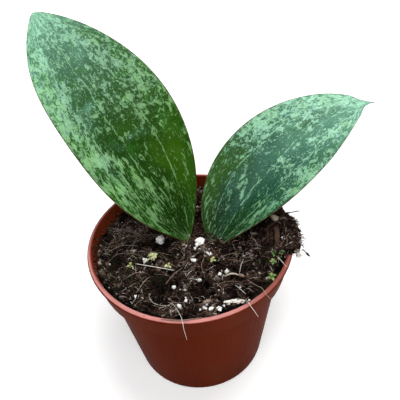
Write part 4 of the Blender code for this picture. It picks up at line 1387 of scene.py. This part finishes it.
def makeStrands(material):
    for strands, placed in ((lyingStrands, lyingPoints), (freeStrands, freePoints)):
        for name, (node, thickness, tone, lumps, points) in strands.items():
            makeStrand(name, node, thickness, tone, lumps, placed(points), material)
    parts = PartsList()
    for strands, placed, steps in ((extraStrands, lyingPoints, 8), (wisps, freePoints, 6)):
        for thickness, tone, points in strands:
            path = smoothPath([p * mm for p in placed(points)], steps)
            parts.addTube(path, taper(len(path), thickness * mm, 0.35), 6, tone, 0.2)
    path = [p * mm for p in freePoints(club["points"])]
    parts.addTube(path, [radius * mm for radius in club["radii"]], 8, club["tone"], 0.3)
    pick = random.Random(14)
    for place in fluff["places"]:
        for _ in range(fluff["count"]):
            start, way = Vector(place) + anyWay(pick, 0.5), anyWay(pick).normalized()
            bend = anyWay(pick, 0.4)
            path = smoothPath([p * mm for p in (start - way, start + bend, start + way)], 3)
            parts.addTube(path, [fluff["thickness"] * mm] * len(path), 3, pick.uniform(*fluff["tone"]))
    parts.finish("fineRoots", material)


# perlite grains: x, y and size, in the order of their nodes
grains = {
    "places": (
        (-15.0, 5.6, 4.6), (5.0, -1.2, 4.5), (9.3, -9.8, 2.4), (0.4, -12.4, 2.4), (2.3, -26.0, 2.2),
        (-10.2, -27.9, 1.8), (-5.0, -37.9, 1.7), (-8.1, -40.6, 2.3), (3.0, -42.2, 2.2),
        (9.7, -44.6, 2.4), (6.1, -44.2, 2.0), (12.3, -23.2, 1.7), (16.2, -22.9, 2.2),
        (-28.6, -30.9, 1.7), (-23.7, -8.0, 2.5),
    ),
    "lift": 0.22,           # share of the size
    "squash": (1.05, 0.90, 0.92),
    "cuts": 9,              # flat faces, how far out they lie, and how far their corners reach
    "cutAt": (0.58, 0.95),
    "corner": 1.25,
    "colours": ("#e6e3dd", "#fefdfb"),
    "stain": "#7b6a55",
    "crack": "#3a3029",
    "dustCount": 45,
    "dustSize": (0.35, 1.1),
    # loose bits: some in front of the big grain, others near the lip and on the heap
    "bits": (
        (3.3, -2.6, 2.3), (2.2, -4.0, 1.7), (8.0, -8.4, 1.4), (0.9, -43.4, 1.5), (11.6, -42.6, 1.3),
        (4.4, -40.8, 1.2), (30.0, 20.0, 1.2), (45.5, -11.1, 1.7), (46.6, -12.2, 1.0),
    ),
}


def makePerliteMaterial():
    paint = newPaint("perlite", 0.85, 0.3)
    place = paint.place()
    cloud = paint.noise(place, 500.0, 4.0, 0.6)
    colour = paint.mix(paint.step(cloud, 0.30, 0.62), *grains["colours"])
    stain = paint.step(paint.noise(place, 260.0, 3.0, 0.7), 0.60, 0.74)
    colour = paint.mix(paint.times(stain, 0.3), colour, grains["stain"])
    cracks = paint.cells(place, 420.0, feature="DISTANCE_TO_EDGE")
    cracks = paint.flip(paint.step(cracks, 0.01, 0.07))
    cracks = paint.times(cracks, paint.step(paint.noise(place, 330.0, 2.0), 0.46, 0.56))
    paint.put("Base Color", paint.mix(paint.times(cracks, 0.75), colour, grains["crack"]))
    paint.put("Roughness", paint.range(cloud, 0.7, 1.0))
    paint.put("Normal", paint.bump(paint.cells(place, 1500.0), 0.8, 0.00025))
    return paint.owner


def grainPoints(shape, centre, size, pick, depth):
    # a lump broken off along a few flat faces, and pitted
    shift = Vector((pick.uniform(0, 90), pick.uniform(0, 90), 0))
    cuts = [(anyWay(pick).normalized(), pick.uniform(*grains["cutAt"])) for _ in range(grains["cuts"])]
    points = []
    for p in shape:
        reach = min([grains["corner"]] + [flat / p.dot(way) for way, flat in cuts if p.dot(way) > 0.1])
        swell = reach + 0.24 * noise.noise(p * 1.3 + shift) + 0.20 * noise.noise(p * 3.6 + shift)
        pit = min(0.0, cellDistance(p * 2.4 + shift) - 0.36) * depth
        points.append((centre + p * Vector(grains["squash"]) * size / 2 * (swell + pit)) * mm)
    return points


def makeGrains(material):
    shape, faces = icoShape(4)
    pick = random.Random(21)
    for i, (x, y, size) in enumerate(grains["places"], start=1):
        parts = PartsList()
        centre = onGround(x, y, grains["lift"] * size)
        parts.add(grainPoints(shape, centre, size, pick, 1.2), faces, 0.5)
        parts.finish(f"perliteGrain{i:02d}", material, (f"perlite_{i:02d}",))
    shape, faces = icoShape(2)
    parts = PartsList()
    for _ in range(grains["dustCount"]):
        x, y, z = spotOnGround(pick, 0.1)
        size = anySize(pick, grains["dustSize"])
        centre = Vector((x, y, z + 0.6 + 0.4 * crumbling(x, y)))
        parts.add(grainPoints(shape, centre, size, pick, 0.6), faces, 0.5)
    for x, y, size in grains["bits"]:
        centre = onGround(x, y, 0.4 * size)
        parts.add(grainPoints(shape, centre, size, pick, 0.6), faces, 0.5)
    parts.finish("perliteBits", material)


# bark, seed and splinters: node, x, y, heading, length, width, thickness,
# lift of both ends, tone and ridges
chips = {
    "barkStrip": ("bark_strip", 43.7, -7.6, -101.5, 13.4, 2.9, 1.6, (0.6, 0.6), 0.31, 0.16),
    "paleSeed": ("pale_seed", 45.0, 4.4, -66.0, 5.8, 3.0, 2.4, (3.9, 0.9), 0.84, 0.05),
    "woodSplinter": ("wood_splinter", 16.9, -41.8, -5.0, 9.4, 2.3, 1.5, (0.6, 0.6), 1.15, 0.70),
    "tanChip": ("tan_chip", 4.7, -38.8, 3.0, 4.0, 1.8, 1.0, (0.6, 0.6), 0.74, 0.25),
}
chipMake = {
    "stations": 48,
    "around": 48,
    "end": 0.22,            # width of an end, as a share of the middle
    "crackAt": 0.12,
    "crackDepth": 1.1,
    "crackDark": 9.0,
    "ragged": 0.16,
}


def makeChips(material):
    # each tapers to ragged ends and is scored along its length
    make = chipMake
    for name, (node, x, y, heading, length, width, thickness, lift, tone, ridges) in chips.items():
        forward = outwards(math.radians(heading))
        ends = []
        for share, above in zip((-0.4, 0.4), lift):
            place = Vector((x, y, 0)) + forward * share * length
            ends.append(onGround(place.x, place.y, 0.2 * thickness + above))
        slope = (ends[1] - ends[0]).normalized()
        middle = (ends[0] + ends[1]) / 2
        across = slope.cross(upwards(1)).normalized()
        up = across.cross(slope)
        rings, tones = [], []
        for i in range(make["stations"] + 1):
            s = i / make["stations"]
            size = make["end"] + (1 - make["end"]) * max(0.0, math.sin(math.pi * s)) ** 0.42
            ring = []
            for a in around(make["around"]):
                place = Vector((math.cos(a) * 2.2, math.sin(a) * 2.2, s * 1.3 + len(name)))
                score = 1 + ridges * noise.noise(place * 1.6)
                score += 0.5 * ridges * noise.noise(Vector((place.x * 3, place.y * 3, s * 6)))
                crack = noise.noise(Vector((place.x * 2.4, place.y * 2.4, s * 3.5 + 7)))
                crack = ridges * max(0.0, crack - make["crackAt"])
                score -= make["crackDepth"] * crack
                ragged = make["ragged"] * ridges * noise.noise(place * 2.1) * abs(2 * s - 1) ** 3
                edge = across * width * math.cos(a)
                edge += up * thickness * math.copysign(abs(math.sin(a)) ** 0.6, math.sin(a))
                centre = middle + slope * length * (s - 0.5 + ragged)
                ring.append((centre + edge * size * score / 2) * mm)
                tones.append(max(0.05, tone - make["crackDark"] * crack))
            rings.append(ring)
        parts = PartsList()
        parts.add(*joinRings(rings), tones + [tone, tone])
        parts.finish(name, material, (node,))


# seedlings: x, y, spread, heading, number of leaves, shade from yellow to green
sprouts = {
    "places": (
        (-19.4, -5.7, 4.2, 20.0, 5, 0.15), (-11.9, -14.3, 3.6, 70.0, 3, 0.28),
        (10.2, -15.0, 3.4, -30.0, 4, 0.45), (36.6, -30.0, 4.4, 15.0, 4, 0.72),
        (38.9, -21.3, 3.4, 25.0, 5, 0.70), (-31.0, -10.2, 3.6, 75.0, 3, 0.34),
    ),
    "extra": (
        (43.0, -19.8, 3.0, 10.0, 4, 0.85), (40.4, -18.4, 3.2, 60.0, 4, 0.80),
        (42.0, -20.6, 2.6, 120.0, 3, 0.70), (41.2, -16.9, 2.6, -20.0, 3, 0.80),
        (-22.4, -8.0, 2.2, 40.0, 3, 0.05), (-19.0, -7.6, 2.2, 0.0, 3, 0.12),
    ),
    "colours": ((0.0, "#d2d5a2"), (0.35, "#a6b26c"), (0.7, "#5a7838"), (1.0, "#35552a")),
    "stalk": 0.16,
    "thickness": 0.16,
    "height": 1.3,
    "leafLength": (0.38, 0.52),     # share of the spread
    "leafWidth": (0.75, 1.0),       # share of its length
    "arch": 0.35,                   # how much a leaf arches along it and cups across
    "cup": 0.35,
}


def makeSproutMaterial():
    paint = newPaint("seedlingLeaf", 0.45)
    place = paint.place()
    mottle = paint.range(paint.noise(place, 900.0, 3.0, 0.6), -0.2, 0.2)
    paint.put("Base Color", paint.ramp(paint.plus(paint.mark("tone"), mottle), *sprouts["colours"]))
    paint.put("Roughness", paint.range(paint.noise(place, 500.0, 2.0), 0.35, 0.6))
    paint.put("Normal", paint.bump(paint.noise(place, 1500.0, 3.0), 0.5, 0.0001))
    paint.put("Subsurface Weight", 0.15)
    paint.put("Subsurface Radius", (0.002, 0.003, 0.001))
    paint.put("Subsurface Scale", 0.5)
    return paint.owner


def addSprout(parts, x, y, spread, heading, count, tone, pick):
    # small cupped leaves on thin stalks from one foot
    foot = onGround(x, y, -0.2)
    for i in range(count):
        turn = math.radians(heading) + 2 * math.pi * i / count + pick.uniform(-0.3, 0.3)
        out, side = outwards(turn), outwards(turn + math.pi / 2)
        neck = foot + out * spread * 0.10 + upwards(sprouts["height"] + pick.uniform(-0.3, 0.5))
        stalk = smoothPath([p * mm for p in (foot, foot.lerp(neck, 0.5) + out * 0.1, neck)], 3)
        parts.addTube(stalk, [sprouts["stalk"] * mm] * len(stalk), 6, tone * 0.8)
        length = spread * pick.uniform(*sprouts["leafLength"])
        wide = length * pick.uniform(*sprouts["leafWidth"]) / 2
        rings = []
        for j in range(11):
            s = j / 10
            half = wide * max(0.05, math.sin(math.pi * (0.06 + 0.90 * s)) ** 0.7)
            centre = neck + out * length * s + upwards(sprouts["arch"] * length * (s ** 0.8 - s * s))
            ring = []
            for a in around(12):
                rise = sprouts["cup"] * half * math.cos(a) ** 2 + sprouts["thickness"] * math.sin(a)
                ring.append((centre + side * half * math.cos(a) + upwards(rise)) * mm)
            rings.append(ring)
        parts.add(*joinRings(rings), min(1.0, tone + pick.uniform(-0.12, 0.12)))


def makeSprouts(material):
    pick = random.Random(33)
    for i, place in enumerate(sprouts["places"], start=1):
        parts = PartsList()
        addSprout(parts, *place, pick)
        parts.finish(f"sprout{i:02d}", material, (f"seedling_{i:02d}",))
    parts = PartsList()
    for place in sprouts["extra"]:
        addSprout(parts, *place, pick)
    parts.finish("mossSprouts", material)


# soil that sticks to the inner wall and a little to the lip
wallSpecks = {
    "count": 1500,
    "size": (0.3, 1.5),
    "flat": ((0.5, 1.2), (0.5, 1.2), (0.4, 1.0)),
    "tone": (0.15, 0.6),
    "height": (0.6, 1.9),       # how high it reaches on average, at least and where it is thick
    "thickAt": (165.0, 20.0),   # it is thick round these angles
    "onLip": 0.006,
    "ledge": 71.2,              # height of the ledge from which the wall widens to the lip
}


def makeWallSpecks(material):
    shape, faces = icoShape(1)
    pick = random.Random(17)
    parts = PartsList()
    collarInner = pot["collarRadius"] - pot["wall"]
    lipInner = pot["rimRadius"] - pot["lipWidth"]
    thickAt = [math.radians(middle) for middle in wallSpecks["thickAt"]]
    low, high = wallSpecks["height"]
    ledge = wallSpecks["ledge"]
    for _ in range(wallSpecks["count"]):
        angle = pick.uniform(0, 2 * math.pi)
        x, y = math.cos(angle), math.sin(angle)
        thick = max(0.0, *[math.cos(angle - middle) ** 3 for middle in thickAt])
        reach = pick.expovariate(1 / (low + (high - low) * thick))
        z = min(pot["height"] - 0.6, groundLevel(x * 47, y * 47) - 0.3 + reach)
        radius = collarInner + (z - ledge) / (pot["height"] - ledge) * (lipInner - collarInner)
        size = anySize(pick, wallSpecks["size"]) / 2
        if pick.random() < wallSpecks["onLip"]:
            radius, z = pick.uniform(lipInner + 0.4, pot["rimRadius"] - 0.6), pot["height"] + 0.1
        centre = Vector((x * radius, y * radius, z))
        shift = Vector((pick.uniform(0, 99), 0, 0))
        flat = Vector([pick.uniform(*share) for share in wallSpecks["flat"]]) * size
        points = [(centre + p * flat * (1 + 0.9 * noise.noise(p * 1.5 + shift))) * mm for p in shape]
        parts.add(points, faces, pick.uniform(*wallSpecks["tone"]))
    parts.finish("soilSpecks", material)


# stem

def makeStemMaterial():
    paint = newPaint("greenStem", 0.5)
    streak = paint.noise(paint.stretched(paint.place(), (1.0, 1.0, 0.2)), 700.0, 4.0, 0.6)
    paint.put("Base Color", paint.mix(streak, "#4d6a30", "#7f9350"))
    paint.put("Roughness", paint.range(streak, 0.4, 0.65))
    paint.put("Normal", paint.bump(streak, 0.5, 0.0002))
    return paint.owner


# floor and background

floorLook = {
    "size": 12.0,           # metres
    "height": -0.0003,
    "colour": "#f2f2f2",
    "glow": 0.30,           # added for the eye and for reflections only
    "fadeFrom": 0.25,       # metres from the pot: from here the glow grows, so that the floor runs
    "fadeTo": 0.9,          # out into plain white
}


def makeFloor():
    half = floorLook["size"] / 2
    corners = [(-half, -half), (half, -half), (half, half), (-half, half)]
    mesh = bpy.data.meshes.new("floor")
    mesh.from_pydata([(x, y, floorLook["height"]) for x, y in corners], [], [(0, 1, 2, 3)])
    paint = newPaint("paleFloor", 0.9, 0.1)
    paint.put("Base Color", floorLook["colour"])
    path = paint.node("LightPath", {}).outputs
    seen = paint.larger(path["Is Glossy Ray"], path["Is Transmission Ray"])
    seen = paint.larger(path["Is Camera Ray"], seen)
    far = paint.step(paint.length(paint.place()), floorLook["fadeFrom"], floorLook["fadeTo"])
    strength = paint.times(seen, paint.range(far, floorLook["glow"], 1.0))
    glow = paint.node("Emission", {"Strength": strength})
    both = paint.node("AddShader", {0: paint.shader.outputs[0], 1: glow.outputs[0]})
    paint.fill(paint.tree.nodes["Material Output"], "Surface", both.outputs[0])
    mesh.materials.append(paint.owner)
    floor = bpy.data.objects.new("floor", mesh)
    bpy.context.scene.collection.objects.link(floor)


def makeWorld():
    world = bpy.data.worlds.new("room")
    bpy.context.scene.world = world
    paint = Paint(world)
    path = paint.node("LightPath", {}).outputs
    seen = paint.larger(path["Is Camera Ray"], path["Is Transmission Ray"])
    up = paint.split(paint.node("TexCoord", {}).outputs["Generated"])["Z"]
    room = paint.step(up, light["skyFrom"], light["skyTo"])
    room = paint.range(room, light["roomLow"], light["roomHigh"])
    paint.put("Color", (1.0, 1.0, 1.0, 1.0))
    paint.put("Strength", paint.plus(paint.times(room, paint.flip(seen)), seen))


def paintNodes(material, *nodes):
    for node in nodes:
        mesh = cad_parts[node].data
        mesh.materials.clear()
        mesh.materials.append(material)


makeCamera()
makeWorld()
makeFloor()
addSoftbox("skyWindow", light["skyPlace"], light["skySize"], light["skyPower"])
addSoftbox("frontFill", light["frontPlace"], light["frontSize"], light["frontPower"])
print("camera, light and floor set")

paintNodes(makePotMaterial(), "pot")
paintNodes(makeStemMaterial(), "stem")
print("pot and stem painted")

noise.seed_set(leafMake["paintSeed"])       # without it noise_vector would follow the clock
for leaf in (leafLeft, leafRight):
    makeLeaf(leaf, makeLeafMaterial(leaf))
print("leaves made")

peatMaterial = makePeatMaterial()
makePeat(peatMaterial)
makeHeap(peatMaterial)
scatterCrumbs("peatCrumbs", crumbs["coarse"], peatMaterial, 3)
scatterCrumbs("peatGrit", crumbs["fine"], peatMaterial, 4)
makeWallSpecks(peatMaterial)
print("peat made")

fibreMaterial = makeFibreMaterial()
for seed, (name, group) in enumerate(fibreGroups.items(), start=60):
    scatterFibres(name, group, fibreMaterial, seed)
makeRootTangle(fibreMaterial)
makeHeapTufts(fibreMaterial)
makeStrands(fibreMaterial)
makeChips(fibreMaterial)
print("roots, fibres and chips made")

makeGrains(makePerliteMaterial())
makeSprouts(makeSproutMaterial())
print("perlite and seedlings made")

bpy.context.scene.view_settings.view_transform = "Standard"
